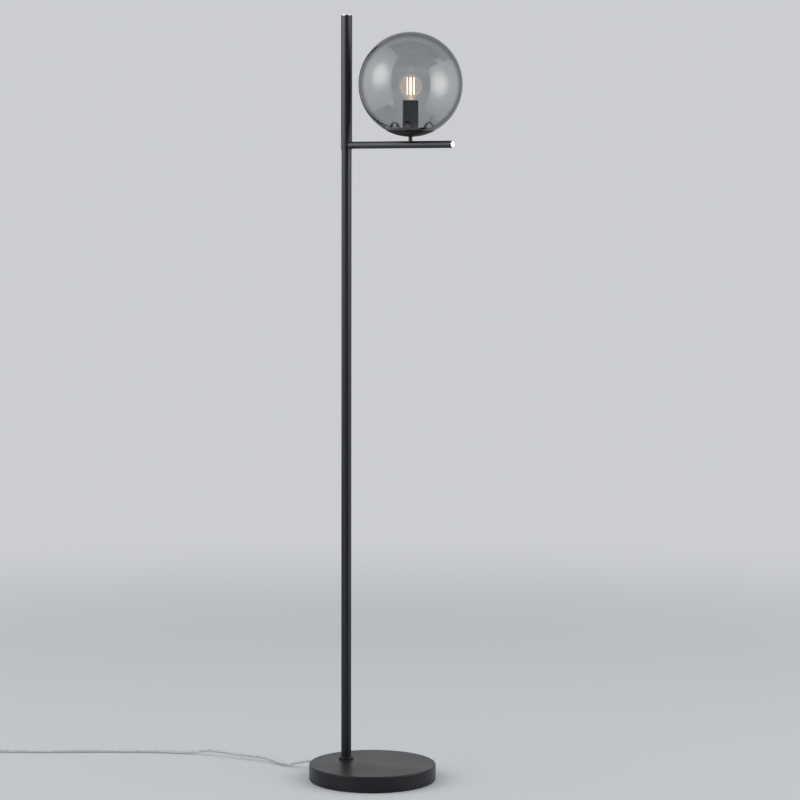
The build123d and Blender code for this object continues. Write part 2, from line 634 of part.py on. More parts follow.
head_nipple = tube(GLOBE_X, NIPPLE_D, NIPPLE_BORE, NIPPLE_LOW, seat_z + nipple_top)
write(head_nipple.part, "head_nipple")

with BuildPart() as nipple_nut:
    with BuildSketch(Plane.XY.offset(seat_z + HOLDER_FLOOR_T)):
        with Locations((GLOBE_X, 0)):
            RegularPolygon(NIPPLE_NUT_AF / 2, 6, major_radius=False)
            Circle(NIPPLE_D / 2 + TIGHT, mode=Mode.SUBTRACT)
    extrude(amount=NIPPLE_NUT_T)
write(nipple_nut.part, "nipple_nut")

with BuildPart() as holder_body:
    with BuildSketch(upright(GLOBE_X, seat_z)):
        with BuildLine():
            Polyline((CABLE_HOLE_R, BODY_LOW), (body_r - BODY_EDGE, BODY_LOW),
                     (body_r, BODY_LOW + BODY_EDGE), (body_r, body_top),
                     (THROAT_R, body_top), (THROAT_R, shell_top + MOUTH_CONE),
                     (shell_seat_r, shell_top), (shell_seat_r, SHELL_LOW), (WELL_R, SHELL_LOW),
                     (WELL_R, WELL_LOW), (CABLE_HOLE_R, WELL_LOW), close=True)
        make_face()
    revolve(axis=Axis((GLOBE_X, 0, 0), (0, 0, 1)))
    for face, depth in window_slots(body_r - BODY_EDGE, HOLDER_D / 2 - LUG_BACK):
        with BuildSketch(face):
            RectangleRounded(WINDOW_W - 2 * LOOSE, WINDOW_H - 2 * LOOSE, LUG_R)
        extrude(amount=depth)
write(holder_body.part, "holder_body")

holder_shell = tube(GLOBE_X, 2 * (SHELL_IN_R + SHELL_WALL), 2 * SHELL_IN_R,
                    seat_z + SHELL_LOW, seat_z + shell_top)
write(holder_shell.part, "holder_shell")

# ================================================================ bulb
# Small globe filament bulb with a 14 mm screw cap; it stands up in the holder.
CAP_R = 6.9
CAP_FLARE_R = 8.7
CAP_H = 25.4            # contact to rim
CONTACT_RISE = 3.0      # the bulb's contact above the shell's lower end
CAP_WALL = 1.0
FLARE_RISE = 2.4        # cone between the threaded shell and the cap's rim
FLARE_T = 1.6
CONTACT_R = 2.6         # solder button under the cap
CONTACT_T = 1.2
INSULATOR_R = (3.6, 5.6)
INSULATOR_T = 2.4
SHELL_EDGE = 0.8
CAP_FILL_T = 6.0        # insulating floor inside the cap
GLASS_T = 0.8
BULB_NECK_R = 8.5
BULB_FILLET_R = 12.0
STRIP_L = 11.0          # spring contact under the bulb
STRIP_W = 4.5
STRIP_T = 0.5
TONGUE_R = 1.8
bulb_r = BULB_D / 2
bulb_low = SHELL_LOW + CONTACT_RISE
bulb_top = bulb_low + BULB_LENGTH
bulb_mid = bulb_top - bulb_r
cap_top = bulb_low + CAP_H
fillet_x = BULB_NECK_R + BULB_FILLET_R
fillet_drop = math.sqrt((bulb_r + BULB_FILLET_R)**2 - fillet_x**2)
fillet_z = bulb_mid - fillet_drop
fillet_turn = math.degrees(math.atan2(fillet_drop, fillet_x))
insulator_low = bulb_low + CONTACT_T
shell_low = insulator_low + INSULATOR_T
flare_low = cap_top - FLARE_T - FLARE_RISE
neck_in_r = BULB_NECK_R - GLASS_T - SLIP

with BuildPart() as holder_contact:
    with BuildSketch(Plane.XY.offset(seat_z + WELL_LOW)):
        with Locations((GLOBE_X, 0)):
            Rectangle(STRIP_L, STRIP_W)
    extrude(amount=STRIP_T)
    with BuildSketch(Plane.XY.offset(seat_z + WELL_LOW + STRIP_T)):
        with Locations((GLOBE_X, 0)):
            Circle(TONGUE_R)
    extrude(amount=bulb_low - WELL_LOW - STRIP_T)
write(holder_contact.part, "holder_contact")

with BuildPart() as bulb_cap:
    with BuildSketch(upright(GLOBE_X, seat_z)):
        with BuildLine():
            Polyline((0, bulb_low), (CONTACT_R, bulb_low), (CONTACT_R, insulator_low),
                     (INSULATOR_R[0], insulator_low), (INSULATOR_R[1], shell_low),
                     (CAP_R, shell_low + SHELL_EDGE), (CAP_R, flare_low), (CAP_FLARE_R, cap_top - FLARE_T),
                     (CAP_FLARE_R, cap_top), (neck_in_r, cap_top), (neck_in_r, cap_top - FLARE_T),
                     (CAP_R - CAP_WALL, flare_low), (CAP_R - CAP_WALL, bulb_low + CAP_FILL_T),
                     (0, bulb_low + CAP_FILL_T), close=True)
        make_face()
    revolve(axis=Axis((GLOBE_X, 0, 0), (0, 0, 1)))
write(bulb_cap.part, "bulb_cap")

with BuildPart() as bulb_glass:
    with BuildSketch(upright(GLOBE_X, seat_z)):
        with BuildLine():
            CenterArc((0, bulb_mid), bulb_r, 90, -90 - fillet_turn)
            CenterArc((fillet_x, fillet_z), BULB_FILLET_R, 180 - fillet_turn, fillet_turn)
            Line((BULB_NECK_R, fillet_z), (BULB_NECK_R, cap_top))
            Line((BULB_NECK_R, cap_top), (BULB_NECK_R - GLASS_T, cap_top))
            Line((BULB_NECK_R - GLASS_T, cap_top), (BULB_NECK_R - GLASS_T, fillet_z))
            CenterArc((fillet_x, fillet_z), BULB_FILLET_R + GLASS_T, 180, -fillet_turn)
            CenterArc((0, bulb_mid), bulb_r - GLASS_T, -fillet_turn, 90 + fillet_turn)
            Line((0, bulb_top - GLASS_T), (0, bulb_top))
        make_face()
    revolve(axis=Axis((GLOBE_X, 0, 0), (0, 0, 1)))
write(bulb_glass.part, "bulb_glass")

FILAMENT_D = 1.8
FILAMENT_RING_R = 6.5
FILAMENT_L = 32.5
FILAMENT_SET = 16.0     # the rods' lower ends below the middle of the glass
FILAMENT_COUNT = 4
LEAD_D = 0.7
STEM_GAP = 1.0          # the lead wires between the stem and the rods
STEM_R = (3.2, 2.4)     # the glass stem above its flare, and at its top
STEM_FLARE_H = 5.0
LEAD_PAST = 0.75        # the leads run this far past the filaments' ring
filament_low = seat_z + bulb_mid - FILAMENT_SET
filament_top = filament_low + FILAMENT_L
stem_top = bulb_mid - FILAMENT_SET - STEM_GAP

with BuildPart() as bulb_filaments:
    with BuildSketch(Plane.XY.offset(filament_low)):
        with Locations((GLOBE_X, 0)):
            with PolarLocations(FILAMENT_RING_R, FILAMENT_COUNT, start_angle=45):
                Circle(FILAMENT_D / 2)
    extrude(amount=FILAMENT_L)
write(bulb_filaments.part, "bulb_filaments")

with BuildPart() as bulb_stem:
    with BuildSketch(upright(GLOBE_X, seat_z)):
        with BuildLine():
            Polyline((0, cap_top), (neck_in_r, cap_top), (STEM_R[0], cap_top + STEM_FLARE_H),
                     (STEM_R[1], stem_top), (0, stem_top), close=True)
        make_face()
    revolve(axis=Axis((GLOBE_X, 0, 0), (0, 0, 1)))
    with BuildSketch(Plane.XY.offset(seat_z + stem_top)):
        with Locations((GLOBE_X, 0)):
            Circle(STEM_R[1])
            with PolarLocations(FILAMENT_RING_R / 2, FILAMENT_COUNT, start_angle=45):
                Rectangle(FILAMENT_RING_R + 2 * LEAD_PAST, LEAD_D)
    extrude(amount=STEM_GAP)
write(bulb_stem.part, "bulb_stem")

with BuildPart() as bulb_bridges:
    with BuildSketch(Plane.XY.offset(filament_top)):
        with Locations((GLOBE_X, FILAMENT_RING_R * math.sqrt(0.5)),
                       (GLOBE_X, -FILAMENT_RING_R * math.sqrt(0.5))):
            SlotCenterToCenter(FILAMENT_RING_R * math.sqrt(2), FILAMENT_D)
    extrude(amount=LEAD_D)
write(bulb_bridges.part, "bulb_bridges")

# ================================================================ glass globe
with BuildPart() as globe:
    with BuildSketch(upright(GLOBE_X, GLOBE_Z)):
        Circle(GLOBE_R)
        Circle(glass_in_r, mode=Mode.SUBTRACT)
        with Locations((0, OPENING)):
            Rectangle(GLOBE_D, 2 * GLOBE_D, align=(Align.MIN, Align.MIN), mode=Mode.INTERSECT)
    revolve(axis=Axis((GLOBE_X, 0, 0), (0, 0, 1)))
write(globe.part, "globe")

# ================================================================ inner cable
CABLE_BENDS = (5.0, 5.0, 3.6)
CABLE_IN_BODY = 10.0
cable_end = seat_z + BODY_LOW + CABLE_IN_BODY

with BuildPart() as inner_cable:
    with BuildLine() as cable_line:
        FilletPolyline((TERMINAL_X + TERMINAL_L, 0, CABLE_LOW), (POLE_X, 0, CABLE_LOW),
                       (POLE_X, 0, ARM_H), (GLOBE_X, 0, ARM_H), (GLOBE_X, 0, cable_end),
                       radius=CABLE_BENDS)
    with BuildSketch(Plane(origin=cable_line.line @ 0, z_dir=cable_line.line % 0)):
        Circle(CABLE_D / 2)
    sweep(path=cable_line.line)
write(inner_cable.part, "inner_cable")

# ================================================================ mains lead
# The lead lies on the floor in gentle uneven bends, rises a little where its own set lifts it,
# and is put away in a two-layer coil past a foot switch. Points are chosen by hand.
LEAD_FLOOR = CORD_D / 2
run_points = [
    (RELIEF_TIP, 0, CORD_EXIT_H), (-163, 0, CORD_EXIT_H), (-182, -6, 9.2), (-203, -13, 3.4),
    (-224, -14.5, 2.8), (-246, -9, 5.0), (-272, -7, 7.4), (-300, -11, 8.0), (-328, -19, 7.6),
    (-357, -24, 8.8), (-386, -27, 9.4), (-412, -33, 8.2), (-434, -46, 3.8), (-458, -59, 2.8),
    (-486, -72, 3.0), (-518, -93, 2.8), (-560, -124, 2.9), (-606, -156, 2.8), (-648, -194, 3.0),
    (-694, -231, 2.8), (-733, -258, 2.9), (-765, -282, 4.4),
]
STORE_AT = (-812.0, -317.0)     # where the run meets the foot switch
STORE_TURN = 218.0              # the direction in which it gets there
SWITCH_LEAD_H = 9.0             # height of the lead's axis at the switch
PLUG_LEAD_H = 7.0               # height of the lead's axis at the plug
ahead = Vector(1, 0, 0).rotate(Axis.Z, STORE_TURN)
aside = Vector(0, 1, 0).rotate(Axis.Z, STORE_TURN)


def stored(along, across, height):
    """A point of the put-away end: along and across the lead's direction at the switch."""
    flat = Vector(STORE_AT[0], STORE_AT[1], 0) + ahead * along + aside * across
    return Vector(flat.X, flat.Y, height)


run_points += [stored(-24, 0, SWITCH_LEAD_H), stored(0, 0, SWITCH_LEAD_H)]


def bend_radii(points):
    """Radius of each bend: 0.45 of the shorter run over the tangent of half the turn."""
    radii = []
    for before, here, after in zip(points, points[1:], points[2:]):
        leg_in = Vector(here) - Vector(before)
        leg_out = Vector(after) - Vector(here)
        half_turn = math.radians(leg_in.get_angle(leg_out)) / 2
        radii.append(0.45 * min(leg_in.length, leg_out.length) / math.tan(half_turn))
    return radii


def lead(points, label):
    """A round lead along straight runs joined by tangent arcs."""
    radii = bend_radii(points)
    with BuildPart() as made:
        with BuildLine() as route:
            FilletPolyline(*points, radius=radii)
        with BuildSketch(Plane(origin=route.line @ 0, z_dir=route.line % 0)):
            Circle(CORD_D / 2)
        sweep(path=route.line)
    length = route.wire().length
    print(label, "length", round(length, 1), "radii", [round(radius) for radius in radii],
          "volume ratio", round(made.part.volume / (math.pi * (CORD_D / 2)**2 * length), 4))
    write(made.part, label)
    return length


run_length = lead(run_points, "cord_run")

# ---------------------------------------------------------------- foot switch on the lead
SWITCH_L = 88.0
SWITCH_W = 42.0
SWITCH_H = 22.0
SWITCH_BASE_H = 9.0
SWITCH_WALL = 2.0
BUTTON_D = 26.0
BUTTON_PROUD = 4.0
BUTTON_TRAVEL = 3.0
BUTTON_FLANGE_W = 2.0
BUTTON_FLANGE_T = 1.5
BUTTON_EDGE_R = 1.6
SWITCH_FOOT_EDGE = 1.0
SWITCH_TOP_EDGE_R = 5.0
GUIDE_R = 6.0           # post in the base that guides the button's stem
STEM_BORE_R = 3.2
SCREW_POST_R = 4.0
SWITCH_SCREW_D = 3.0
SWITCH_HEAD_D = 6.0
SWITCH_HEAD_T = 2.0
SWITCH_SCREW_PITCH = 62.0
SWITCH_SCREW_L = 12.0
SWITCH_SCREW_IN = 7.0   # depth of its hole in the cover
HEAD_SUNK = 0.5
flange_top = SWITCH_H - 2 * SWITCH_WALL - LOOSE
flange_low = flange_top - BUTTON_FLANGE_T
stem_low = SWITCH_WALL + BUTTON_TRAVEL + LOOSE
switch_plane = Plane(origin=stored(SWITCH_L / 2, 0, 0), x_dir=ahead, z_dir=(0, 0, 1))

with BuildPart() as switch_base:
    with BuildSketch(switch_plane):
        SlotOverall(SWITCH_L, SWITCH_W)
    extrude(amount=SWITCH_BASE_H)
    chamfer(switch_base.edges().group_by(Axis.Z)[0], SWITCH_FOOT_EDGE)
    with BuildSketch(switch_plane.offset(SWITCH_WALL)):
        SlotOverall(SWITCH_L - 2 * SWITCH_WALL, SWITCH_W - 2 * SWITCH_WALL)
    extrude(amount=SWITCH_BASE_H, mode=Mode.SUBTRACT)
    with BuildSketch(switch_plane.offset(SWITCH_WALL)):
        Circle(GUIDE_R)
        with GridLocations(SWITCH_SCREW_PITCH, 1, 2, 1):
            Circle(SCREW_POST_R)
    extrude(amount=SWITCH_BASE_H - SWITCH_WALL)
    with BuildSketch(switch_plane.offset(SWITCH_WALL)):
        Circle(STEM_BORE_R)
    extrude(amount=SWITCH_BASE_H, mode=Mode.SUBTRACT)
    with BuildSketch(switch_plane):
        with GridLocations(SWITCH_SCREW_PITCH, 1, 2, 1):
            Circle(SWITCH_SCREW_D / 2 + SLIP)
    extrude(amount=SWITCH_BASE_H, mode=Mode.SUBTRACT)
    with BuildSketch(switch_plane):
        with GridLocations(SWITCH_SCREW_PITCH, 1, 2, 1):
            Circle(SWITCH_HEAD_D / 2 + SLIP)
    extrude(amount=HEAD_SUNK + SWITCH_HEAD_T, mode=Mode.SUBTRACT)
write(switch_base.part, "switch_base")

with BuildPart() as switch_cover:
    with BuildSketch(switch_plane.offset(SWITCH_BASE_H)):
        SlotOverall(SWITCH_L, SWITCH_W)
    extrude(amount=SWITCH_H - SWITCH_BASE_H)
    fillet(switch_cover.edges().group_by(Axis.Z)[-1], SWITCH_TOP_EDGE_R)
    with BuildSketch(switch_plane.offset(SWITCH_BASE_H)):
        SlotOverall(SWITCH_L - 2 * SWITCH_WALL, SWITCH_W - 2 * SWITCH_WALL)
    extrude(amount=SWITCH_H - SWITCH_BASE_H - 2 * SWITCH_WALL, mode=Mode.SUBTRACT)
    with BuildSketch(switch_plane.offset(SWITCH_BASE_H)):
        with GridLocations(SWITCH_SCREW_PITCH, 1, 2, 1):
            Circle(SCREW_POST_R)
    extrude(amount=SWITCH_H - SWITCH_BASE_H - SWITCH_WALL)
    with BuildSketch(switch_plane.offset(SWITCH_BASE_H)):
        Circle(BUTTON_D / 2 + LOOSE)
    extrude(amount=SWITCH_H, mode=Mode.SUBTRACT)
    with BuildSketch(switch_plane.offset(SWITCH_BASE_H)):
        with GridLocations(SWITCH_SCREW_PITCH, 1, 2, 1):
            Circle(SWITCH_SCREW_D / 2)
    extrude(amount=SWITCH_SCREW_IN, mode=Mode.SUBTRACT)
write(switch_cover.part, "switch_cover")

with BuildPart() as switch_button:
    with BuildSketch(switch_plane.offset(SWITCH_H + BUTTON_PROUD)):
        Circle(BUTTON_D / 2)
    extrude(amount=flange_top - SWITCH_H - BUTTON_PROUD)
    fillet(switch_button.edges().group_by(Axis.Z)[-1], BUTTON_EDGE_R)
    with BuildSketch(switch_plane.offset(flange_low)):
        Circle(BUTTON_D / 2 + BUTTON_FLANGE_W)
    extrude(amount=BUTTON_FLANGE_T)
    with BuildSketch(switch_plane.offset(stem_low)):
        Circle(STEM_BORE_R - SLIP)
    extrude(amount=flange_low - stem_low)
write(switch_button.part, "switch_button")

with BuildPart() as switch_screws:
    with BuildSketch(switch_plane.offset(HEAD_SUNK)):
        with GridLocations(SWITCH_SCREW_PITCH, 1, 2, 1):
            Circle(SWITCH_HEAD_D / 2)
    extrude(amount=SWITCH_HEAD_T)
    with BuildSketch(switch_plane.offset(HEAD_SUNK + SWITCH_HEAD_T)):
        with GridLocations(SWITCH_SCREW_PITCH, 1, 2, 1):
            Circle(SWITCH_SCREW_D / 2)
    extrude(amount=SWITCH_SCREW_L)
write(switch_screws.part, "switch_screws")

# ---------------------------------------------------------------- coil of the spare length
COIL_GAP = 0.7          # between neighbouring turns and layers
COIL_PITCH = CORD_D + COIL_GAP
COIL_TURNS = 4.5                # all turns, both layers
COIL_LEAST_R = 24.5
COIL_ENTRY = 140.0              # along the lead's direction, from the start of the switch
COIL_SAMPLES = 96               # per turn, for the self-gap
TIE_T = 0.8                     # two bands hold the coil; it lies on them
TIE_W = 8.0
TIE_ROOM = 0.9                  # all round the turns, which curve within the band's width
TIE_CORNER_R = 3.0
COIL_FLOOR = CORD_D / 2 + TIE_T + SLIP


def coil_radius(turns):
    """Radius at a count of turns from the middle of the climb: steady but for the rounded reversal."""
    away = abs(turns)
    if away < 0.25:
        return COIL_LEAST_R + 2 * COIL_PITCH * away**2
    return COIL_LEAST_R + COIL_PITCH * (away - 0.125)


coil_outer_r = coil_radius(COIL_TURNS / 2)
coil_centre = stored(COIL_ENTRY, -coil_outer_r, 0)


def coil_point(turns):
    """A point of the coil's centreline; it climbs a layer in the half turn about zero."""
    rise = min(max(2 * turns + 0.5, 0.0), 1.0)
    height = COIL_FLOOR + COIL_PITCH * rise**2 * (3 - 2 * rise)
    angle = math.radians(STORE_TURN + 90 - 360 * (turns + COIL_TURNS / 2))
    radius = coil_radius(turns)
    across, along = radius * math.cos(angle), radius * math.sin(angle)
    return Vector(coil_centre.X + across, coil_centre.Y + along, height)


def coil_heading(turns):
    """Unit tangent of the coil's centreline."""
    step = 1e-4
    return (coil_point(turns + step) - coil_point(turns - step)).normalized()


def biarc(start, start_dir, end, end_dir):
    """Two tangent arcs from one point and direction to another."""
    chord = end - start
    both = start_dir + end_dir
    spread = 2 * (1 - start_dir.dot(end_dir))
    reach = (-chord.dot(both) + math.sqrt(chord.dot(both)**2 + spread * chord.dot(chord))) / spread
    corner_in = start + start_dir * reach
    corner_out = end - end_dir * reach
    middle = (corner_in + corner_out) * 0.5
    TangentArc(start, middle, tangent=start_dir)
    TangentArc(middle, end, tangent=corner_out - corner_in)


quarters = [(-COIL_TURNS / 2) + 0.25 * step for step in range(int(COIL_TURNS * 4) + 1)]
coil_in = coil_point(quarters[0])
coil_out = coil_point(quarters[-1])
coil_in_dir = coil_heading(quarters[0])
coil_out_dir = coil_heading(quarters[-1])

with BuildPart() as cord_coil:
    with BuildLine() as coil_line:
        Line(coil_in - coil_in_dir * CORD_D, coil_in)
        for begin, finish in zip(quarters, quarters[1:]):
            biarc(coil_point(begin), coil_heading(begin), coil_point(finish), coil_heading(finish))
        Line(coil_out, coil_out + coil_out_dir * CORD_D)
    with BuildSketch(Plane(origin=coil_line.line @ 0, z_dir=coil_line.line % 0)):
        Circle(CORD_D / 2)
    sweep(path=coil_line.line)
write(cord_coil.part, "cord_coil")

sample_count = int(COIL_SAMPLES * COIL_TURNS)
samples = [coil_line.line @ (n / sample_count) for n in range(sample_count + 1)]
nearest = min((samples[i] - samples[j]).length
              for i in range(len(samples)) for j in range(i + COIL_SAMPLES // 2, len(samples)))
coil_length = coil_line.wire().length
print("cord_coil length", round(coil_length, 1), "least gap to itself", round(nearest - CORD_D, 2),
      "volume ratio", round(cord_coil.part.volume / (math.pi * (CORD_D / 2)**2 * coil_length), 4))

with BuildPart() as coil_ties:
    for facing, inmost, outmost in ((0, 0.0, 2.0), (180, 0.5, 1.5)):
        outward = ahead.rotate(Axis.Z, facing)
        low_r = coil_radius(inmost) - CORD_D / 2 - TIE_ROOM
        high_r = coil_radius(outmost) + CORD_D / 2 + TIE_ROOM
        top = COIL_FLOOR + COIL_PITCH + CORD_D / 2 + SLIP
        hole_w = high_r - low_r
        hole_h = top - TIE_T
        middle = coil_centre + outward * ((low_r + high_r) / 2) + Vector(0, 0, TIE_T + hole_h / 2)
        with BuildSketch(Plane(origin=middle, x_dir=outward, z_dir=outward.cross(Vector(0, 0, 1)))):
            RectangleRounded(hole_w + 2 * TIE_T, hole_h + 2 * TIE_T, TIE_CORNER_R + TIE_T)
            RectangleRounded(hole_w, hole_h, TIE_CORNER_R, mode=Mode.SUBTRACT)
        extrude(amount=TIE_W / 2, both=True)
write(coil_ties.part, "coil_ties")

link_end = coil_line.line @ 0
link_points = [stored(SWITCH_L, 0, SWITCH_LEAD_H), stored(SWITCH_L + 10, 0, SWITCH_LEAD_H),
               stored(SWITCH_L + 26, 0.3, 4.6), link_end - coil_in_dir * 10, link_end]
link_length = lead(link_points, "cord_link")

# ---------------------------------------------------------------- plug
TAIL_L = 34.0
PLUG_L = 36.0
PLUG_W = 26.0
PLUG_T = 2 * PLUG_LEAD_H
PLUG_RELIEF_L = 26.0
PIN_D = 4.0
PIN_L = 19.0
PIN_PITCH = 18.6
PIN_TIP_R = 1.2
SLEEVE_L = 10.0         # insulating sleeve next to the plug's face
SLEEVE_D = 3.8
PIN_CORE_D = 3.0        # the pin inside its sleeve
PLUG_NECK_L = 13.0      # shoulder between the relief and the grip
PLUG_NECK_W = 15.0
PLUG_NECK_T = PLUG_T - 1.5
PLUG_NECK_R = 4.0
PLUG_CORNER_R = 5.0
PLUG_RELIEF_R = (CORD_D / 2 + 1.0, 5.4)

tail_start = coil_line.line @ 1
back = coil_out_dir
tail_end = Vector(tail_start.X, tail_start.Y, PLUG_LEAD_H) + back * TAIL_L
tail_points = [tail_start, tail_start + back * 9, tail_start + back * 17 + Vector(0, 0, -0.9),
               tail_end - back * 9, tail_end]
tail_length = lead(tail_points, "cord_tail")
plug_start = tail_points[-1]
plug_plane = Plane(origin=plug_start, x_dir=Vector(back.X, back.Y, 0).cross(Vector(0, 0, 1)),
                   z_dir=Vector(back.X, back.Y, 0))

with BuildPart() as plug_body:
    with BuildSketch(plug_plane.offset(PLUG_RELIEF_L)):
        RectangleRounded(PLUG_NECK_W, PLUG_NECK_T, PLUG_NECK_R)
    with BuildSketch(plug_plane.offset(PLUG_RELIEF_L + PLUG_NECK_L)):
        RectangleRounded(PLUG_W, PLUG_T, PLUG_CORNER_R)
    loft()
    with BuildSketch(plug_plane.offset(PLUG_RELIEF_L + PLUG_NECK_L)):
        RectangleRounded(PLUG_W, PLUG_T, PLUG_CORNER_R)
    extrude(amount=PLUG_L - PLUG_NECK_L)
    with BuildSketch(plug_plane):
        Circle(PLUG_RELIEF_R[0])
    with BuildSketch(plug_plane.offset(PLUG_RELIEF_L)):
        Circle(PLUG_RELIEF_R[1])
    loft()
write(plug_body.part, "plug_body")

plug_face = PLUG_RELIEF_L + PLUG_L

with BuildPart() as plug_pins:
    with BuildSketch(plug_plane.offset(plug_face)):
        with GridLocations(PIN_PITCH, 1, 2, 1):
            Circle(PIN_CORE_D / 2)
    extrude(amount=SLEEVE_L)
    with BuildSketch(plug_plane.offset(plug_face + SLEEVE_L)):
        with GridLocations(PIN_PITCH, 1, 2, 1):
            Circle(PIN_D / 2)
    extrude(amount=PIN_L - SLEEVE_L)
    fillet(plug_pins.edges().sort_by(Axis(plug_start, plug_plane.z_dir))[-2:], PIN_TIP_R)
write(plug_pins.part, "plug_pins")

with BuildPart() as pin_sleeves:
    with BuildSketch(plug_plane.offset(plug_face)):
        with GridLocations(PIN_PITCH, 1, 2, 1):
            Circle(SLEEVE_D / 2)
            Circle(PIN_CORE_D / 2 + TIGHT, mode=Mode.SUBTRACT)
    extrude(amount=SLEEVE_L)
write(pin_sleeves.part, "pin_sleeves")

total_lead = run_length + SWITCH_L + link_length + coil_length + tail_length
print("lead from the relief to the plug", round(total_lead, 1), "coil diameter at mid turns",
      round(coil_outer_r + COIL_LEAST_R, 1))
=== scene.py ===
import json
import math

import bmesh
import bpy
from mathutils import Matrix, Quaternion, Vector, noise


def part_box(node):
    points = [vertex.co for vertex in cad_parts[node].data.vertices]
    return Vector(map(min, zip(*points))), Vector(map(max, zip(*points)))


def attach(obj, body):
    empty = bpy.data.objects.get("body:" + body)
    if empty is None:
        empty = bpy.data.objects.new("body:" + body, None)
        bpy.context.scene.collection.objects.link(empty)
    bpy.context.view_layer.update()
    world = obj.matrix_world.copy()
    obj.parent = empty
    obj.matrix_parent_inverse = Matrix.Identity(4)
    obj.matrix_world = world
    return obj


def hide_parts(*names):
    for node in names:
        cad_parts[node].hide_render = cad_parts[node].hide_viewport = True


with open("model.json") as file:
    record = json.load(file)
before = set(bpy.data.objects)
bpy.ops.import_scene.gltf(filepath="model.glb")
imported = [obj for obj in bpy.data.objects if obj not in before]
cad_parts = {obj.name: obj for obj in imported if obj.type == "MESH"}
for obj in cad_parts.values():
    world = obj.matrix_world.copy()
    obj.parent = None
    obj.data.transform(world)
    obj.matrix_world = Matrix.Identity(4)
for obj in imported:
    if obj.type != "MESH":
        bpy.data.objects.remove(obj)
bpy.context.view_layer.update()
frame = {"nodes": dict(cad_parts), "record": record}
nodes = frame["nodes"]

# Globe floor lamp. Metres, +Z up, origin at the centre of the base's underside. The arm points along +X.
MM = 0.001
UP = Vector((0.0, 0.0, 1.0))

# ---------------------------------------------------------------- sizes, from the frame where it has them
globe_low, globe_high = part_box("globe")
bulb_low, bulb_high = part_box("bulb_glass")
GLOBE_R = (globe_high.x - globe_low.x) / 2
GLOBE_WALL = 3.0 * MM
GLOBE_AXIS = Vector(((globe_low.x + globe_high.x) / 2, 0.0, 0.0))      # where the axis meets the floor
GLOBE_MID_Z = globe_high.z - GLOBE_R
BULB_R = (bulb_high.x - bulb_low.x) / 2
BULB_MID_Z = bulb_high.z - BULB_R
BULB_WALL = 0.8 * MM
BULB_NECK_R = 8.5 * MM
BULB_FILLET_R = 12.0 * MM
LEAD_D = 5.6 * MM


def linked(name, data):
    """A new object with this data, in the scene."""
    made = bpy.data.objects.new(name, data)
    bpy.context.collection.objects.link(made)
    return made


def mesh_of(name, verts, faces):
    """A mesh from its points and faces."""
    made = bpy.data.meshes.new(name)
    made.from_pydata(verts, [], faces)
    return made


# ================================================================ camera, fitted to the photograph's outlines
LENS = 118.94           # in millimetres, on Blender's 36 mm sensor
CAMERA_AT = Vector((3.1417, -4.0739, 1.1707))
CAMERA_AIM = Vector((-0.60053, 0.79547, -0.08123))
CAMERA_ROLL = math.radians(0.129)


def make_camera():
    """The photograph's view of the lamp."""
    camera = linked("camera", bpy.data.cameras.new("camera"))
    camera.data.lens = LENS
    camera.location = CAMERA_AT
    camera.rotation_mode = "QUATERNION"
    level = CAMERA_AIM.to_track_quat("-Z", "Y")
    camera.rotation_quaternion = level @ Quaternion(UP, CAMERA_ROLL)
    bpy.context.scene.camera = camera
    bpy.context.scene.view_settings.view_transform = "Standard"


make_camera()


# ================================================================ materials
PATTERN_REACH = (0.3, 0.7)      # the span of a pattern's values that is put to use
GLASS_IOR = 1.5
PVC_IOR = 1.53


def new_material(name, color, roughness, metallic=0.0):
    """A named material with its node tree and its Principled shader."""
    made = bpy.data.materials.new(name)
    made.use_nodes = True
    shader = made.node_tree.nodes["Principled BSDF"]
    shader.inputs["Base Color"].default_value = (*color, 1.0)
    shader.inputs["Roughness"].default_value = roughness
    shader.inputs["Metallic"].default_value = metallic
    return made, made.node_tree, shader


def grain(tree, cells, detail, stretch=(1.0, 1.0, 1.0)):
    """Noise over the object's own space: cells per metre, octaves of detail, and a stretch per axis."""
    place = tree.nodes.new("ShaderNodeTexCoord")
    scaled = tree.nodes.new("ShaderNodeMapping")
    scaled.inputs["Scale"].default_value = stretch
    speckle = tree.nodes.new("ShaderNodeTexNoise")
    speckle.inputs["Scale"].default_value = cells
    speckle.inputs["Detail"].default_value = detail
    tree.links.new(place.outputs["Object"], scaled.inputs["Vector"])
    tree.links.new(scaled.outputs["Vector"], speckle.inputs["Vector"])
    return speckle.outputs["Fac"]


def waves(tree, cells, axis):
    """Parallel ridges across one axis of the object's own space, with cells per metre."""
    place = tree.nodes.new("ShaderNodeTexCoord")
    wave = tree.nodes.new("ShaderNodeTexWave")
    wave.bands_direction = axis
    wave.inputs["Scale"].default_value = cells
    tree.links.new(place.outputs["Object"], wave.inputs["Vector"])
    return wave.outputs["Fac"]


def spread(tree, source, low, high, reach=PATTERN_REACH, ease="LINEAR"):
    """A value that goes from low to high while the source crosses its reach."""
    ramp = tree.nodes.new("ShaderNodeMapRange")
    ramp.interpolation_type = ease
    ramp.inputs["From Min"].default_value = reach[0]
    ramp.inputs["From Max"].default_value = reach[1]
    ramp.inputs["To Min"].default_value = low
    ramp.inputs["To Max"].default_value = high
    tree.links.new(source, ramp.inputs["Value"])
    return ramp.outputs["Result"]


def tint(tree, shader, source, dark, light, reach=PATTERN_REACH):
    """The base colour goes from dark to light with a pattern."""
    mix = tree.nodes.new("ShaderNodeMix")
    mix.data_type = "RGBA"
    mix.inputs["A"].default_value = (*dark, 1.0)
    mix.inputs["B"].default_value = (*light, 1.0)
    tree.links.new(spread(tree, source, 0.0, 1.0, reach), mix.inputs["Factor"])
    tree.links.new(mix.outputs["Result"], shader.inputs["Base Color"])


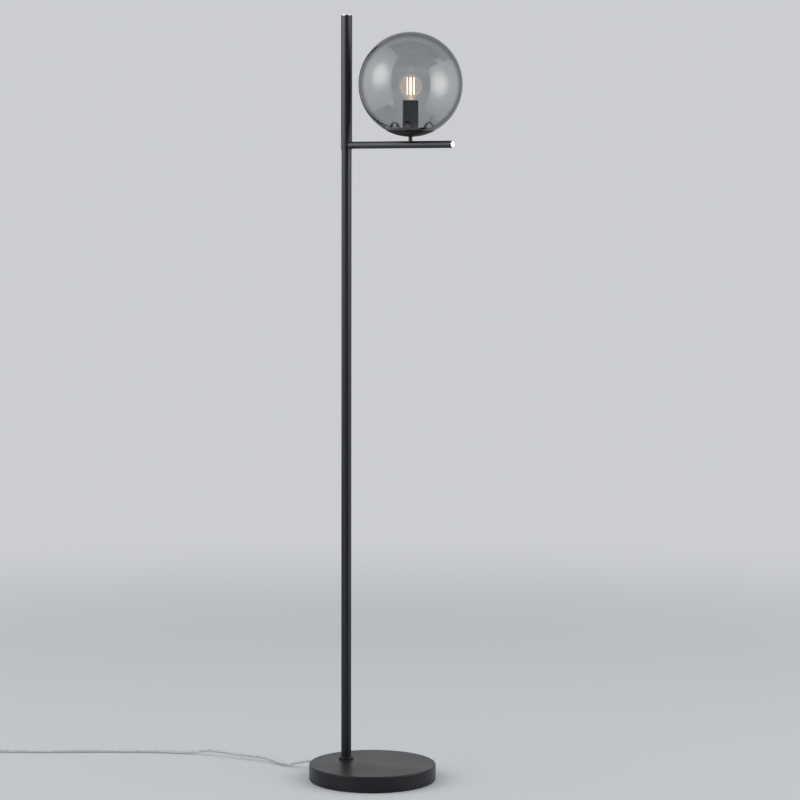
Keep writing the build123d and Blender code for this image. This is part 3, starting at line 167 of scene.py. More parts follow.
def bumped(tree, shader, *layers):
    """Bump from (pattern, depth in metres) layers, one on the other."""
    normal = None
    for source, depth in layers:
        bump = tree.nodes.new("ShaderNodeBump")
        bump.inputs["Distance"].default_value = depth
        tree.links.new(source, bump.inputs["Height"])
        if normal is not None:
            tree.links.new(normal, bump.inputs["Normal"])
        normal = bump.outputs["Normal"]
    tree.links.new(normal, shader.inputs["Normal"])


def roughened(tree, shader, source, low, high):
    """Roughness that varies with a pattern."""
    tree.links.new(spread(tree, source, low, high), shader.inputs["Roughness"])


def see_through(shader, ior, share):
    """The shader refracts this share of the light."""
    shader.inputs["IOR"].default_value = ior
    shader.inputs["Transmission Weight"].default_value = share


def lit(shader, color, strength):
    """The shader gives off light of its own."""
    shader.inputs["Emission Color"].default_value = (*color, 1.0)
    shader.inputs["Emission Strength"].default_value = strength


def black_metal(name, dark, light, rough, specular):
    """Satin black powder coat: fine orange peel, faint handling marks. rough is its least and most."""
    made, tree, shader = new_material(name, light, roughness=rough[1])
    peel = grain(tree, 1900.0, detail=1.0)
    speck = grain(tree, 5200.0, detail=2.0)
    wipe = grain(tree, 9.0, detail=4.0, stretch=(1.0, 1.0, 0.25))
    tint(tree, shader, speck, dark, light)
    roughened(tree, shader, wipe, *rough)
    bumped(tree, shader, (peel, 22e-6), (speck, 6e-6))
    shader.inputs["Specular IOR Level"].default_value = specular
    return made


def nickel(name, color, rough):
    """Turned and plated."""
    made, tree, shader = new_material(name, color, roughness=rough[1], metallic=1.0)
    turned = grain(tree, 900.0, detail=3.0, stretch=(1.0, 1.0, 6.0))
    haze = grain(tree, 60.0, detail=3.0)
    roughened(tree, shader, haze, *rough)
    bumped(tree, shader, (turned, 1.2e-6))
    return made


def steel():
    """Zinc plate: a faint spangle, brushed lightly."""
    made, tree, shader = new_material("steel", (0.58, 0.58, 0.60), roughness=0.34, metallic=1.0)
    spangle = grain(tree, 420.0, detail=4.0)
    tint(tree, shader, spangle, (0.50, 0.50, 0.52), (0.66, 0.66, 0.68))
    roughened(tree, shader, spangle, 0.26, 0.42)
    bumped(tree, shader, (grain(tree, 2600.0, detail=2.0, stretch=(1.0, 1.0, 0.15)), 6e-6))
    return made


def spring_steel():
    """Blackened spring steel with a thin uneven scale."""
    made, tree, shader = new_material("spring_steel", (0.10, 0.10, 0.11), roughness=0.36, metallic=1.0)
    scale = grain(tree, 380.0, detail=5.0)
    tint(tree, shader, scale, (0.075, 0.075, 0.085), (0.14, 0.14, 0.145))
    roughened(tree, shader, scale, 0.28, 0.44)
    bumped(tree, shader, (grain(tree, 3000.0, detail=2.0), 4e-6))
    return made


def cast_iron():
    """Raw casting with the sand's grain."""
    made, tree, shader = new_material("cast_iron", (0.11, 0.11, 0.115), roughness=0.68, metallic=0.6)
    sand = grain(tree, 700.0, detail=5.0)
    tint(tree, shader, sand, (0.08, 0.08, 0.082), (0.15, 0.145, 0.14))
    roughened(tree, shader, sand, 0.58, 0.8)
    bumped(tree, shader, (sand, 120e-6))
    return made


def felt():
    """Pressed dark felt."""
    made, tree, shader = new_material("felt", (0.05, 0.05, 0.055), roughness=0.95)
    fibre = grain(tree, 1500.0, detail=6.0)
    tint(tree, shader, fibre, (0.03, 0.03, 0.034), (0.085, 0.085, 0.09))
    bumped(tree, shader, (fibre, 250e-6))
    shader.inputs["Sheen Weight"].default_value = 0.4
    return made


def tie_fabric():
    """Black woven tape with fine ribs."""
    made, tree, shader = new_material("tie_fabric", (0.03, 0.03, 0.033), roughness=0.85)
    weave = grain(tree, 2400.0, detail=3.0, stretch=(1.0, 1.0, 2.5))
    ribs = waves(tree, 320.0, "Z")
    tint(tree, shader, weave, (0.018, 0.018, 0.02), (0.055, 0.055, 0.06))
    bumped(tree, shader, (ribs, 120e-6), (weave, 90e-6))
    shader.inputs["Sheen Weight"].default_value = 0.3
    return made


def black_plastic():
    """Matt moulded plastic with a fine spark-eroded texture."""
    made, tree, shader = new_material("black_plastic", (0.028, 0.028, 0.030), roughness=0.5)
    erosion = grain(tree, 2300.0, detail=3.0)
    flow = grain(tree, 40.0, detail=3.0)
    tint(tree, shader, flow, (0.024, 0.024, 0.026), (0.034, 0.034, 0.036))
    roughened(tree, shader, erosion, 0.44, 0.58)
    bumped(tree, shader, (erosion, 14e-6))
    return made


def white_plastic():
    """Moulded white plastic, for the terminal block."""
    made, tree, shader = new_material("white_plastic", (0.78, 0.78, 0.76), roughness=0.4)
    erosion = grain(tree, 1800.0, detail=3.0)
    tint(tree, shader, grain(tree, 60.0, detail=3.0), (0.74, 0.74, 0.71), (0.80, 0.80, 0.78))
    roughened(tree, shader, erosion, 0.34, 0.48)
    bumped(tree, shader, (erosion, 10e-6))
    return made


def clear_plastic(name):
    """Clear soft PVC, a little cloudy and not quite smooth."""
    made, tree, shader = new_material(name, (0.93, 0.945, 0.95), roughness=0.14)
    flow = grain(tree, 220.0, detail=3.0)
    roughened(tree, shader, flow, 0.09, 0.22)
    bumped(tree, shader, (flow, 30e-6))
    see_through(shader, PVC_IOR, share=0.86)
    return made


def lead_core():
    """Tinned strands seen through the clear sheath."""
    made, tree, shader = new_material("lead_core", (0.90, 0.91, 0.92), roughness=0.3, metallic=0.45)
    strand = grain(tree, 1400.0, detail=2.0)
    tint(tree, shader, strand, (0.78, 0.79, 0.80), (0.96, 0.97, 0.98))
    roughened(tree, shader, strand, 0.22, 0.4)
    bumped(tree, shader, (strand, 60e-6))
    return made


def inner_cable():
    """Dark rubbery sheath of the cable inside the pole."""
    made, tree, shader = new_material("inner_cable", (0.06, 0.06, 0.062), roughness=0.55)
    skin = grain(tree, 1200.0, detail=2.0)
    roughened(tree, shader, skin, 0.45, 0.65)
    bumped(tree, shader, (skin, 15e-6))
    return made


def brass():
    """Pressed brass with a little tarnish."""
    made, tree, shader = new_material("brass", (0.72, 0.54, 0.27), roughness=0.3, metallic=1.0)
    tarnish = grain(tree, 300.0, detail=4.0)
    tint(tree, shader, tarnish, (0.60, 0.44, 0.20), (0.80, 0.62, 0.33))
    roughened(tree, shader, tarnish, 0.22, 0.4)
    bumped(tree, shader, (grain(tree, 2400.0, detail=2.0), 4e-6))
    return made


def bulb_nickel():
    """Nickel plate, rubbed where it is screwed or pushed in."""
    made, tree, shader = new_material("bulb_nickel", (0.70, 0.69, 0.67), roughness=0.22, metallic=1.0)
    rub = grain(tree, 500.0, detail=3.0, stretch=(1.0, 1.0, 0.3))
    roughened(tree, shader, rub, 0.16, 0.32)
    bumped(tree, shader, (rub, 5e-6))
    return made


def clear_glass(name, glow, strength):
    """Bulb glass with painted light: a faint glow of its own stands in for the filaments' light in the glass.
    """
    made, tree, shader = new_material(name, (0.97, 0.975, 0.97), roughness=0.0)
    draw = grain(tree, 90.0, detail=2.0, stretch=(1.0, 1.0, 0.4))
    roughened(tree, shader, draw, 0.0, 0.03)
    bumped(tree, shader, (draw, 12e-6))
    see_through(shader, GLASS_IOR, share=1.0)
    # painted light: the glass glows by itself, as if lit by the filaments
    lit(shader, glow, strength)
    return made


SMOKE_COLOR = (0.0, 0.03, 0.05)
SMOKE_DENSITY = 140.0           # absorption per metre
# painted shade: the dark colour laid on the glass where it is seen edge on
RIM_PAINTED_SHADE = (0.02, 0.022, 0.025)
RIM_SHADE_SPAN = (0.56, 0.72)      # between face on, 0, and edge on, 1: where it takes the rim's painted shade
RIM_GLOSS_CUT_SPAN = (0.44, 0.64)        # and where its gloss is cut, which paints the rim darker still


def smoked_glass():
    """Grey glass: its tint is in the wall, and a thin ring of painted shade, with its gloss cut, darkens it
    where it is seen edge on.
    """
    made, tree, shader = new_material("smoked_glass", (1.0, 1.0, 1.0), roughness=0.0)
    blown = grain(tree, 14.0, detail=2.0)
    roughened(tree, shader, blown, 0.0, 0.012)
    bumped(tree, shader, (blown, 20e-6))
    # painted shade: the rim is tinted dark and its gloss is cut by the angle at which the glass is seen
    edge_on = tree.nodes.new("ShaderNodeLayerWeight")
    edge_on.inputs["Blend"].default_value = 0.5
    facing = edge_on.outputs["Facing"]
    tint(tree, shader, facing, (1.0, 1.0, 1.0), RIM_PAINTED_SHADE, RIM_SHADE_SPAN)
    tree.links.new(spread(tree, facing, 0.5, 0.0, RIM_GLOSS_CUT_SPAN), shader.inputs["Specular IOR Level"])
    see_through(shader, GLASS_IOR, share=1.0)
    smoke = tree.nodes.new("ShaderNodeVolumeAbsorption")
    smoke.inputs["Color"].default_value = (*SMOKE_COLOR, 1.0)
    smoke.inputs["Density"].default_value = SMOKE_DENSITY
    tree.links.new(smoke.outputs["Volume"], tree.nodes["Material Output"].inputs["Volume"])
    return made


def filament():
    """Lit filament rods; they glow but don't light the scene."""
    made, tree, shader = new_material("filament", (1.0, 0.86, 0.58), roughness=0.5)
    coating = grain(tree, 1600.0, detail=2.0)
    tint(tree, shader, coating, (0.95, 0.72, 0.36), (1.0, 0.88, 0.62))
    bumped(tree, shader, (coating, 40e-6))
    lit(shader, (1.0, 0.74, 0.50), strength=4.2)
    made.cycles.emission_sampling = "NONE"
    return made


BULB_PAINTED_GLOW = (1.0, 0.70, 0.44)        # painted light: the glow given to the lit bulb's glass
STEM_PAINTED_GLOW = (1.0, 0.50, 0.20)   # painted light: the glow given to its stem, stronger as it is nearer the filaments

FINISHES = {
    "black_metal": black_metal("black_metal", (0.009, 0.010, 0.0115), (0.016, 0.0175, 0.020),
                               rough=(0.31, 0.41), specular=0.25),
    "polished_nickel": nickel("polished_nickel", (0.70, 0.69, 0.67), rough=(0.14, 0.24)),
    "steel": steel(),
    "spring_steel": spring_steel(),
    "cast_iron": cast_iron(),
    "felt": felt(),
    "tie_fabric": tie_fabric(),
    "black_plastic": black_plastic(),
    "white_plastic": white_plastic(),
    "clear_plastic": clear_plastic("clear_plastic"),
    "clear_cord": clear_plastic("clear_cord"),
    "inner_cable": inner_cable(),
    "brass": brass(),
    "bulb_nickel": bulb_nickel(),
    "clear_glass": clear_glass("clear_glass", BULB_PAINTED_GLOW, strength=0.065),
    "smoked_glass": smoked_glass(),
    "filament": filament(),
}
LEAD_CORE = lead_core()
# the stem's glass takes a stronger painted glow
STEM_GLASS = clear_glass("stem_glass", STEM_PAINTED_GLOW, strength=0.30)
HEAD_BLACK = black_metal("head_black", (0.003, 0.003, 0.0035), (0.006, 0.006, 0.007),
                         rough=(0.42, 0.55), specular=0.12)
SATIN_NICKEL = nickel("satin_nickel", (0.44, 0.44, 0.435), rough=(0.36, 0.50))
OWN_FINISH = {"bulb_stem": STEM_GLASS, "holder_sleeve": HEAD_BLACK, "globe_cup": HEAD_BLACK,
              "pole_cap": SATIN_NICKEL}


def finish_nodes():
    """Every CAD node takes its own finish, or else that of its slot in the record."""
    for part in frame["record"]["subparts"]:
        name = part["node"]
        materials = nodes[name].data.materials
        materials.clear()
        materials.append(OWN_FINISH.get(name, FINISHES[part["material_slot"]]))


finish_nodes()


# ================================================================ mesh pieces
SHARP_ANGLE = math.radians(40)
SAME_PLACE = 1e-6               # points this near each other are one


def piece(name, mesh, slot, stands_for=(), material=None):
    """Link a mesh as a piece of the root body, with its finish and the nodes that it replaces."""
    made = linked(name, mesh)
    mesh.materials.append(material or FINISHES[slot])
    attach(made, "root")
    if stands_for:
        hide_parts(*stands_for)
    return made


def smoothed(mesh):
    """Smooth shading, with the sharp edges kept."""
    work = bmesh.new()
    work.from_mesh(mesh)
    bmesh.ops.remove_doubles(work, verts=work.verts, dist=SAME_PLACE)
    bmesh.ops.recalc_face_normals(work, faces=work.faces)
    for face in work.faces:
        face.smooth = True
    for edge in work.edges:
        edge.smooth = len(edge.link_faces) < 2 or edge.calc_face_angle() < SHARP_ANGLE
    work.to_mesh(mesh)
    work.free()
    return mesh


def lathe(name, outline, axis, steps):
    """A closed outline of (radius, height) points, revolved about an upright axis."""
    verts = []
    faces = []
    count = len(outline)
    for step in range(steps):
        turn = 2 * math.pi * step / steps
        verts += [(axis.x + r * math.cos(turn), axis.y + r * math.sin(turn), z) for r, z in outline]
        here = step * count
        there = (step + 1) % steps * count
        for k in range(count):
            beyond = (k + 1) % count
            faces.append((here + k, there + k, there + beyond, here + beyond))
    return smoothed(mesh_of(name, verts, faces))


def arc(centre_r, centre_z, radius, start, end, steps):
    """Points of an arc in a lathe's half plane; angles in degrees from straight out."""
    angles = [math.radians(start + (end - start) * k / steps) for k in range(steps + 1)]
    return [(centre_r + radius * math.cos(angle), centre_z + radius * math.sin(angle)) for angle in angles]


def make_globe():
    """The smoked glass globe with its ground mouth."""
    inner_r = GLOBE_R - GLOBE_WALL
    edge = globe_low.z - GLOBE_MID_Z
    outer_start = math.degrees(math.asin(edge / GLOBE_R))
    inner_start = math.degrees(math.asin(edge / inner_r))
    outline = arc(0.0, GLOBE_MID_Z, GLOBE_R, outer_start, 90.0, steps=90)
    outline += arc(0.0, GLOBE_MID_Z, inner_r, 90.0, inner_start, steps=90)
    piece("globe_glass", lathe("globe_glass", outline, GLOBE_AXIS, steps=192), "smoked_glass",
          stands_for=["globe"])


def make_bulb():
    """The bulb's glass: a ball that flows into its neck."""
    reach = BULB_NECK_R + BULB_FILLET_R
    drop = math.sqrt((BULB_R + BULB_FILLET_R)**2 - reach**2)
    turn = math.degrees(math.atan2(drop, reach))
    flare_z = BULB_MID_Z - drop
    outline = arc(0.0, BULB_MID_Z, BULB_R, 90.0, -turn, steps=48)
    outline += arc(reach, flare_z, BULB_FILLET_R, 180.0 - turn, 180.0, steps=16)[1:]
    outline += [(BULB_NECK_R, bulb_low.z), (BULB_NECK_R - BULB_WALL, bulb_low.z)]
    outline += arc(reach, flare_z, BULB_FILLET_R + BULB_WALL, 180.0, 180.0 - turn, steps=16)
    outline += arc(0.0, BULB_MID_Z, BULB_R - BULB_WALL, -turn, 90.0, steps=48)[1:]
    piece("bulb_envelope", lathe("bulb_envelope", outline, GLOBE_AXIS, steps=96), "clear_glass",
          stands_for=["bulb_glass"])


PAD_R = 120 * MM
PAD_T = 1.5 * MM
PAD_RINGS = 24
FUZZ_CELLS = 400.0              # per metre
FUZZ_OUT = 0.0012               # the edge's unevenness, as a share of the radius
FUZZ_UP = 0.06 * MM             # the faces' unevenness


def make_pad():
    """The felt under the base: soft edged, and not quite even."""
    outline = [(PAD_R * k / PAD_RINGS, 0.0) for k in range(PAD_RINGS)]
    outline += arc(PAD_R - PAD_T / 2, PAD_T / 2, PAD_T / 2, -90.0, 90.0, steps=8)
    outline += [(PAD_R * k / PAD_RINGS, PAD_T) for k in reversed(range(PAD_RINGS))]
    mesh = lathe("felt_pad", outline, Vector(), steps=240)
    for vertex in mesh.vertices:
        fuzz = noise.noise(vertex.co * FUZZ_CELLS)
        vertex.co.x *= 1 + FUZZ_OUT * fuzz
        vertex.co.y *= 1 + FUZZ_OUT * fuzz
        vertex.co.z = min(max(vertex.co.z + FUZZ_UP * fuzz, 0.0), PAD_T)
    pad = piece("felt_pad", mesh, "felt", stands_for=["base_pad"])


make_globe()
make_bulb()
make_pad()
# diffuse surfaces don't see the small bright rods, which would leave specks on what is near them
nodes["bulb_filaments"].visible_diffuse = False


# ================================================================ mains lead
# The route's points, in millimetres, are those that the lead's CAD solids follow. Past the picture's left
# edge the lead reaches a foot switch, and its spare length is wound into a two-layer coil beside it.
RUN_MM = [
    (-147, 0, 15), (-163, 0, 15), (-182, -6, 9.2), (-203, -13, 3.4),
    (-224, -14.5, 2.8), (-246, -9, 5.0), (-272, -7, 7.4), (-300, -11, 8.0), (-328, -19, 7.6),
    (-357, -24, 8.8), (-386, -27, 9.4), (-412, -33, 8.2), (-434, -46, 3.8), (-458, -59, 2.8),
    (-486, -72, 3.0), (-518, -93, 2.8), (-560, -124, 2.9), (-606, -156, 2.8), (-648, -194, 3.0),
    (-694, -231, 2.8), (-733, -258, 2.9), (-765, -282, 4.4),
]
STORE_AT = Vector((-812 * MM, -317 * MM, 0.0))      # where the run meets the foot switch
STORE_TURN = math.radians(218)
SWITCH_L = 88 * MM              # from one lead to the other
SWITCH_LEAD_H = 9 * MM
PLUG_LEAD_H = 7 * MM
RUN_STRAIGHT = 24 * MM          # the run is straight this far before the switch
ahead = Vector((math.cos(STORE_TURN), math.sin(STORE_TURN), 0.0))
aside = Vector((-math.sin(STORE_TURN), math.cos(STORE_TURN), 0.0))


def stored(along, across, height):
    """A point of the put-away end: along and across the lead's direction at the switch."""
    return STORE_AT + ahead * along + aside * across + Vector((0.0, 0.0, height))


COIL_PITCH = 6.3 * MM
COIL_TURNS = 4.5                # all turns, both layers
COIL_LEAST_R = 24.5 * MM
COIL_ENTRY = 140 * MM           # from the run's end to where the coil starts
COIL_FLOOR = 3.7 * MM           # the lowest turns lie on the ties
COIL_STEPS = 16                 # control points per turn
COIL_CLIMB = 0.25               # turns either side of the middle in which the coil climbs a layer
LINK_STRAIGHT = 10 * MM         # the link is straight this far at both its ends
LINK_LOW_AT = (26 * MM, 0.3 * MM, 4.6 * MM)     # from the switch's end: along, across, and the height
TAIL_L = 34 * MM
TAIL_STRAIGHT = 9 * MM          # the tail is straight this far at both its ends
TAIL_LOW_AT = 17 * MM           # along the tail
TAIL_SAG = 0.9 * MM


def coil_radius(turns):
    """Radius at a count of turns from the middle of the climb."""
    away = abs(turns)
    if away < COIL_CLIMB:
        return COIL_LEAST_R + COIL_PITCH * away**2 / (2 * COIL_CLIMB)
    return COIL_LEAST_R + COIL_PITCH * (away - COIL_CLIMB / 2)


coil_outer_r = coil_radius(COIL_TURNS / 2)
coil_centre = stored(COIL_ENTRY, -coil_outer_r, 0.0)


def coil_point(turns, outward=1.0):
    """A point of the coil's centreline, or one outward of it; it climbs a layer about zero."""
    rise = min(max(turns / (2 * COIL_CLIMB) + 0.5, 0.0), 1.0)
    height = COIL_FLOOR + COIL_PITCH * rise**2 * (3 - 2 * rise)
    angle = STORE_TURN + math.radians(90 - 360 * (turns + COIL_TURNS / 2))
    flat = Vector((math.cos(angle), math.sin(angle), 0.0)) * (coil_radius(turns) * outward)
    return coil_centre + flat + UP * height


def coil_heading(turns):
    """Unit tangent of the coil's centreline."""
    step = 1e-4     # of a turn
    return (coil_point(turns + step) - coil_point(turns - step)).normalized()


def store_points():
    """Control points from the switch through the coil to the plug."""
    half = COIL_TURNS / 2
    link_dir = coil_heading(-half)
    link_end = coil_point(-half) - link_dir * LEAD_D
    low_along, low_across, low_height = LINK_LOW_AT
    points = [stored(SWITCH_L, 0, SWITCH_LEAD_H), stored(SWITCH_L + LINK_STRAIGHT, 0, SWITCH_LEAD_H),
              stored(SWITCH_L + low_along, low_across, low_height),
              link_end - link_dir * LINK_STRAIGHT, link_end]
    # a spline runs inside its control points, so those of a round turn lie a little outward
    outward = 1 / math.cos(math.pi / COIL_STEPS)
    count = round(COIL_TURNS * COIL_STEPS)
    points += [coil_point(-half + (k + 0.5) / COIL_STEPS, outward) for k in range(count)]
    tail_dir = coil_heading(half)
    tail_start = coil_point(half) + tail_dir * LEAD_D
    tail_end = Vector((tail_start.x, tail_start.y, PLUG_LEAD_H)) + tail_dir * TAIL_L
    points += [tail_start, tail_start + tail_dir * TAIL_STRAIGHT,
               tail_start + tail_dir * TAIL_LOW_AT - UP * TAIL_SAG,
               tail_end - tail_dir * TAIL_STRAIGHT, tail_end]
    return points


def spline(name, points):
    """One open NURBS spline with these control points."""
    line = bpy.data.curves.new(name, "CURVE")
    line.dimensions = "3D"
    line.resolution_u = 12
    route = line.splines.new("NURBS")
    route.points.add(len(points) - 1)
    for control, point in zip(route.points, points):
        control.co = (*point, 1.0)
    route.order_u = 3
    route.use_endpoint_u = True
    return linked(name, line)


CORE_D = 1.9 * MM
CORE_OFF = 1.02 * MM            # the cores' axes off the lead's axis
CORE_TWIST = 38 * MM            # length of one twist
CORE_SIDES = 10


def twisted_cores(name, path):
    """Two cores twisted round each other along a path, as one mesh."""
    verts = []
    faces = []
    last = len(path) - 1
    for side in (0.0, math.pi):
        first = len(verts)
        travelled = 0.0
        for n, at in enumerate(path):
            travelled += (at - path[max(n - 1, 0)]).length
            tangent = (path[min(n + 1, last)] - path[max(n - 1, 0)]).normalized()
            across = tangent.cross(UP).normalized()
            over = across.cross(tangent)
            turn = side + 2 * math.pi * travelled / CORE_TWIST
            middle = at + (across * math.cos(turn) + over * math.sin(turn)) * CORE_OFF
            for k in range(CORE_SIDES):
                spin = 2 * math.pi * k / CORE_SIDES
                verts.append(middle + (across * math.cos(spin) + over * math.sin(spin)) * (CORE_D / 2))
        for n in range(last):
            for k in range(CORE_SIDES):
                beyond = (k + 1) % CORE_SIDES
                ring = first + n * CORE_SIDES
                faces.append((ring + k, ring + CORE_SIDES + k, ring + CORE_SIDES + beyond, ring + beyond))
        faces.append(tuple(first + k for k in range(CORE_SIDES)))
        faces.append(tuple(first + last * CORE_SIDES + k for k in reversed(range(CORE_SIDES))))
    return smoothed(mesh_of(name, verts, faces))


def make_lead(name, points, stands_for):
    """The clear sheath as a curve, and the cores that follow its spline."""
    sheath = spline(name, points)
    # before its bevel is set, the curve's mesh is its centreline
    bare = bpy.data.meshes.new_from_object(sheath)
    path = [vertex.co.copy() for vertex in bare.vertices]
    bpy.data.meshes.remove(bare)
    sheath.data.bevel_depth = LEAD_D / 2
    sheath.data.bevel_resolution = 5
    sheath.data.use_fill_caps = True
    sheath.data.materials.append(FINISHES["clear_cord"])
    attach(sheath, "root")
    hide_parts(*stands_for)
    cores = piece(name + "_cores", twisted_cores(name + "_cores", path), "clear_cord",
                  material=LEAD_CORE)
    return sheath, cores


TIE_T = 0.8 * MM
TIE_W = 8.0 * MM
TIE_ROOM = 0.9 * MM             # between a band and the turns' sides
TIE_ROOM_UP = 0.1 * MM          # between a band and the top turns
TIE_CORNER_R = 3.0 * MM         # inside
TIE_LAP = TIE_T + 0.1 * MM      # how far out the lapped end lies
TIE_STEPS = 8                   # steps across a band, and round each of its corners
TIE_END_SHARE = 0.5             # of the width that the lapped end's last step keeps
TIE_EDGE_POWER = 6              # how late across its width a band starts to thin towards its edges


def band_line(hole_w, hole_h):
    """(place, out direction, width share) along a band wound once and a bit round a rounded hole."""
    half_w, half_h = hole_w / 2 - TIE_CORNER_R, hole_h / 2 - TIE_CORNER_R
    middle_r = TIE_CORNER_R + TIE_T / 2
    line = [(Vector((-half_w, half_h + middle_r)), Vector((0.0, 1.0)), 1.0)]
    corners = [(half_w, half_h, 90), (half_w, -half_h, 0), (-half_w, -half_h, -90),
               (-half_w, half_h, -180), (half_w, half_h, 90)]
    last = len(corners) - 1
    for number, (across, up, start) in enumerate(corners):
        steps = TIE_STEPS // 2 if number == last else TIE_STEPS
        for k in range(steps + 1):
            angle = math.radians(start - 90 * k / TIE_STEPS)
            out = Vector((math.cos(angle), math.sin(angle)))
            lap, share = 0.0, 1.0
            if number == last - 1:          # the band rises here to lie on its own start
                lap = TIE_LAP * k / TIE_STEPS
            elif number == last:            # and narrows to its end
                lap, share = TIE_LAP, 1.0 - (1.0 - TIE_END_SHARE) * (k / steps)**3
            line.append((Vector((across, up)) + out * (middle_r + lap), out, share))
    return line


def band(verts, faces, facing, inmost, outmost):
    """Add a band that holds the turns from inmost to outmost; facing turns it about the coil's centre."""
    outward = ahead * math.cos(facing) + aside * math.sin(facing)
    along = UP.cross(outward)
    low_r = coil_radius(inmost) - LEAD_D / 2 - TIE_ROOM
    high_r = coil_radius(outmost) + LEAD_D / 2 + TIE_ROOM
    top = COIL_FLOOR + COIL_PITCH + LEAD_D / 2 + TIE_ROOM_UP
    centre = coil_centre + outward * ((low_r + high_r) / 2) + UP * ((TIE_T + top) / 2)
    first = len(verts)
    line = band_line(high_r - low_r, top - TIE_T)
    for at, out, share in line:
        middle = centre + outward * at.x + UP * at.y
        away = outward * out.x + UP * out.y
        for side in (1, -1):
            for k in range(TIE_STEPS + 1):
                place = (2 * k / TIE_STEPS - 1) * side
                half = TIE_T / 2 * math.sqrt(1 - place**TIE_EDGE_POWER)
                verts.append(middle + along * (TIE_W / 2 * place * share) + away * (half * side))
    ring = 2 * (TIE_STEPS + 1)
    for n in range(len(line) - 1):
        for k in range(ring):
            here, beyond = first + n * ring, (k + 1) % ring
            faces.append((here + k, here + ring + k, here + ring + beyond, here + beyond))
    faces.append(tuple(range(first, first + ring)))
    faces.append(tuple(reversed(range(len(verts) - ring, len(verts)))))


def make_bands():
    """The two woven bands that hold the coil."""
    verts, faces = [], []
    band(verts, faces, facing=0.0, inmost=0.0, outmost=2.0)
    band(verts, faces, facing=math.pi, inmost=0.5, outmost=1.5)
    mesh = smoothed(mesh_of("coil_bands", verts, faces))
    return piece("coil_bands", mesh, "tie_fabric", stands_for=["coil_ties"])


run_points = [Vector(point) * MM for point in RUN_MM]
run_points += [stored(-RUN_STRAIGHT, 0, SWITCH_LEAD_H), stored(0, 0, SWITCH_LEAD_H)]
lead_run, run_cores = make_lead("lead_run", run_points, ["cord_run"])
lead_store, store_cores = make_lead("lead_store", store_points(), ["cord_link", "cord_coil", "cord_tail"])
coil_bands = make_bands()


# ================================================================ studio
PALE = (0.60, 0.612, 0.63)      # the backdrop's colour, and the far floor's
FLOOR_COLOR = (0.56, 0.57, 0.585)
FLOOR_R = 40.0
FLOOR_SIDES = 96
FLOOR_FADES = (1.4, 3.6)        # over these distances the floor fades into the backdrop
FLOOR_HOLE_R = 116 * MM         # hidden under the felt, it lets light onto the felt from below
FLOOR_GAP = 0.3 * MM            # keeps the floor and the lamp's lowest faces in different planes


def make_world():
    """A plain pale surround, the same for every ray."""
    world = bpy.data.worlds.new("studio")
    world.use_nodes = True
    back = world.node_tree.nodes["Background"]
    back.inputs["Color"].default_value = (*PALE, 1.0)
    back.inputs["Strength"].default_value = 1.0
    bpy.context.scene.world = world


def distance_from(tree, point):
    """The distance from a point of the object's own space."""
    place = tree.nodes.new("ShaderNodeTexCoord")
    away = tree.nodes.new("ShaderNodeVectorMath")
    away.operation = "DISTANCE"
    away.inputs[1].default_value = point
    tree.links.new(place.outputs["Object"], away.inputs[0])
    return away.outputs["Value"]


def mixed(tree, share, first, second):
    """Two shaders, mixed with this share of the second."""
    mix = tree.nodes.new("ShaderNodeMixShader")
    tree.links.new(share, mix.inputs["Fac"])
    tree.links.new(first, mix.inputs[1])
    tree.links.new(second, mix.inputs[2])
    return mix.outputs["Shader"]


def transparent(tree):
    """A shader that lets everything straight through."""
    return tree.nodes.new("ShaderNodeBsdfTransparent").outputs["BSDF"]


def floor_material():
    """Pale and matt by the lamp, like the backdrop far off, and transparent from below."""
    made, tree, shader = new_material("floor", FLOOR_COLOR, roughness=0.6)
    roughened(tree, shader, grain(tree, 30.0, detail=4.0), 0.52, 0.68)
    bumped(tree, shader, (grain(tree, 900.0, detail=3.0), 15e-6))
    shader.inputs["Specular IOR Level"].default_value = 0.0
    far = tree.nodes.new("ShaderNodeEmission")
    far.inputs["Color"].default_value = (*PALE, 1.0)
    fade = spread(tree, distance_from(tree, Vector()), 0.0, 1.0, FLOOR_FADES, "SMOOTHSTEP")
    above = mixed(tree, fade, shader.outputs["BSDF"], far.outputs["Emission"])
    side = tree.nodes.new("ShaderNodeNewGeometry")
    surface = mixed(tree, side.outputs["Backfacing"], above, transparent(tree))
    tree.links.new(surface, tree.nodes["Material Output"].inputs["Surface"])
    return made


def make_floor():
    """A wide round floor that takes the lamp's shadow."""
    work = bmesh.new()
    for radius in (FLOOR_R, FLOOR_HOLE_R):
        bmesh.ops.create_circle(work, segments=FLOOR_SIDES, radius=radius)
    bmesh.ops.bridge_loops(work, edges=work.edges[:])
    for face in work.faces:
        if face.normal.z < 0:
            face.normal_flip()
    mesh = bpy.data.meshes.new("floor")
    work.to_mesh(mesh)
    work.free()
    mesh.materials.append(floor_material())
    floor = linked("floor", mesh)
    floor.location.z = -FLOOR_GAP


def level_place(turn, distance, height):
    """A place at a height and its level direction to the globe; turn is to the left of the camera."""
    towards = math.atan2(-CAMERA_AIM.y, -CAMERA_AIM.x) - math.radians(turn)
    flat = Vector((math.cos(towards), math.sin(towards), 0.0))
    return Vector((GLOBE_AXIS.x, 0.0, height)) + flat * distance, -flat


def area_lamp(name, width, depth, radiance):
    """A rectangular lamp that lights surfaces but is never seen, mirrored or seen through glass."""
    lamp = bpy.data.lights.new(name, "AREA")
    lamp.shape = "RECTANGLE"
    lamp.size = width
    lamp.size_y = depth
    lamp.energy = radiance * math.pi * width * depth
    made = linked(name, lamp)
    made.visible_camera = False
    made.visible_glossy = False
    made.visible_transmission = False
    return made


def softbox(name, turn, distance, height, width, tall, radiance, aim_height):
    """A lamp aimed at the globe's axis; surfaces mirror its front card instead."""
    made = area_lamp(name, width, tall, radiance)
    made.location, facing = level_place(turn, distance, height)
    made.rotation_mode = "QUATERNION"
    made.rotation_quaternion = (facing * distance + UP * (aim_height - height)).to_track_quat("-Z", "Y")


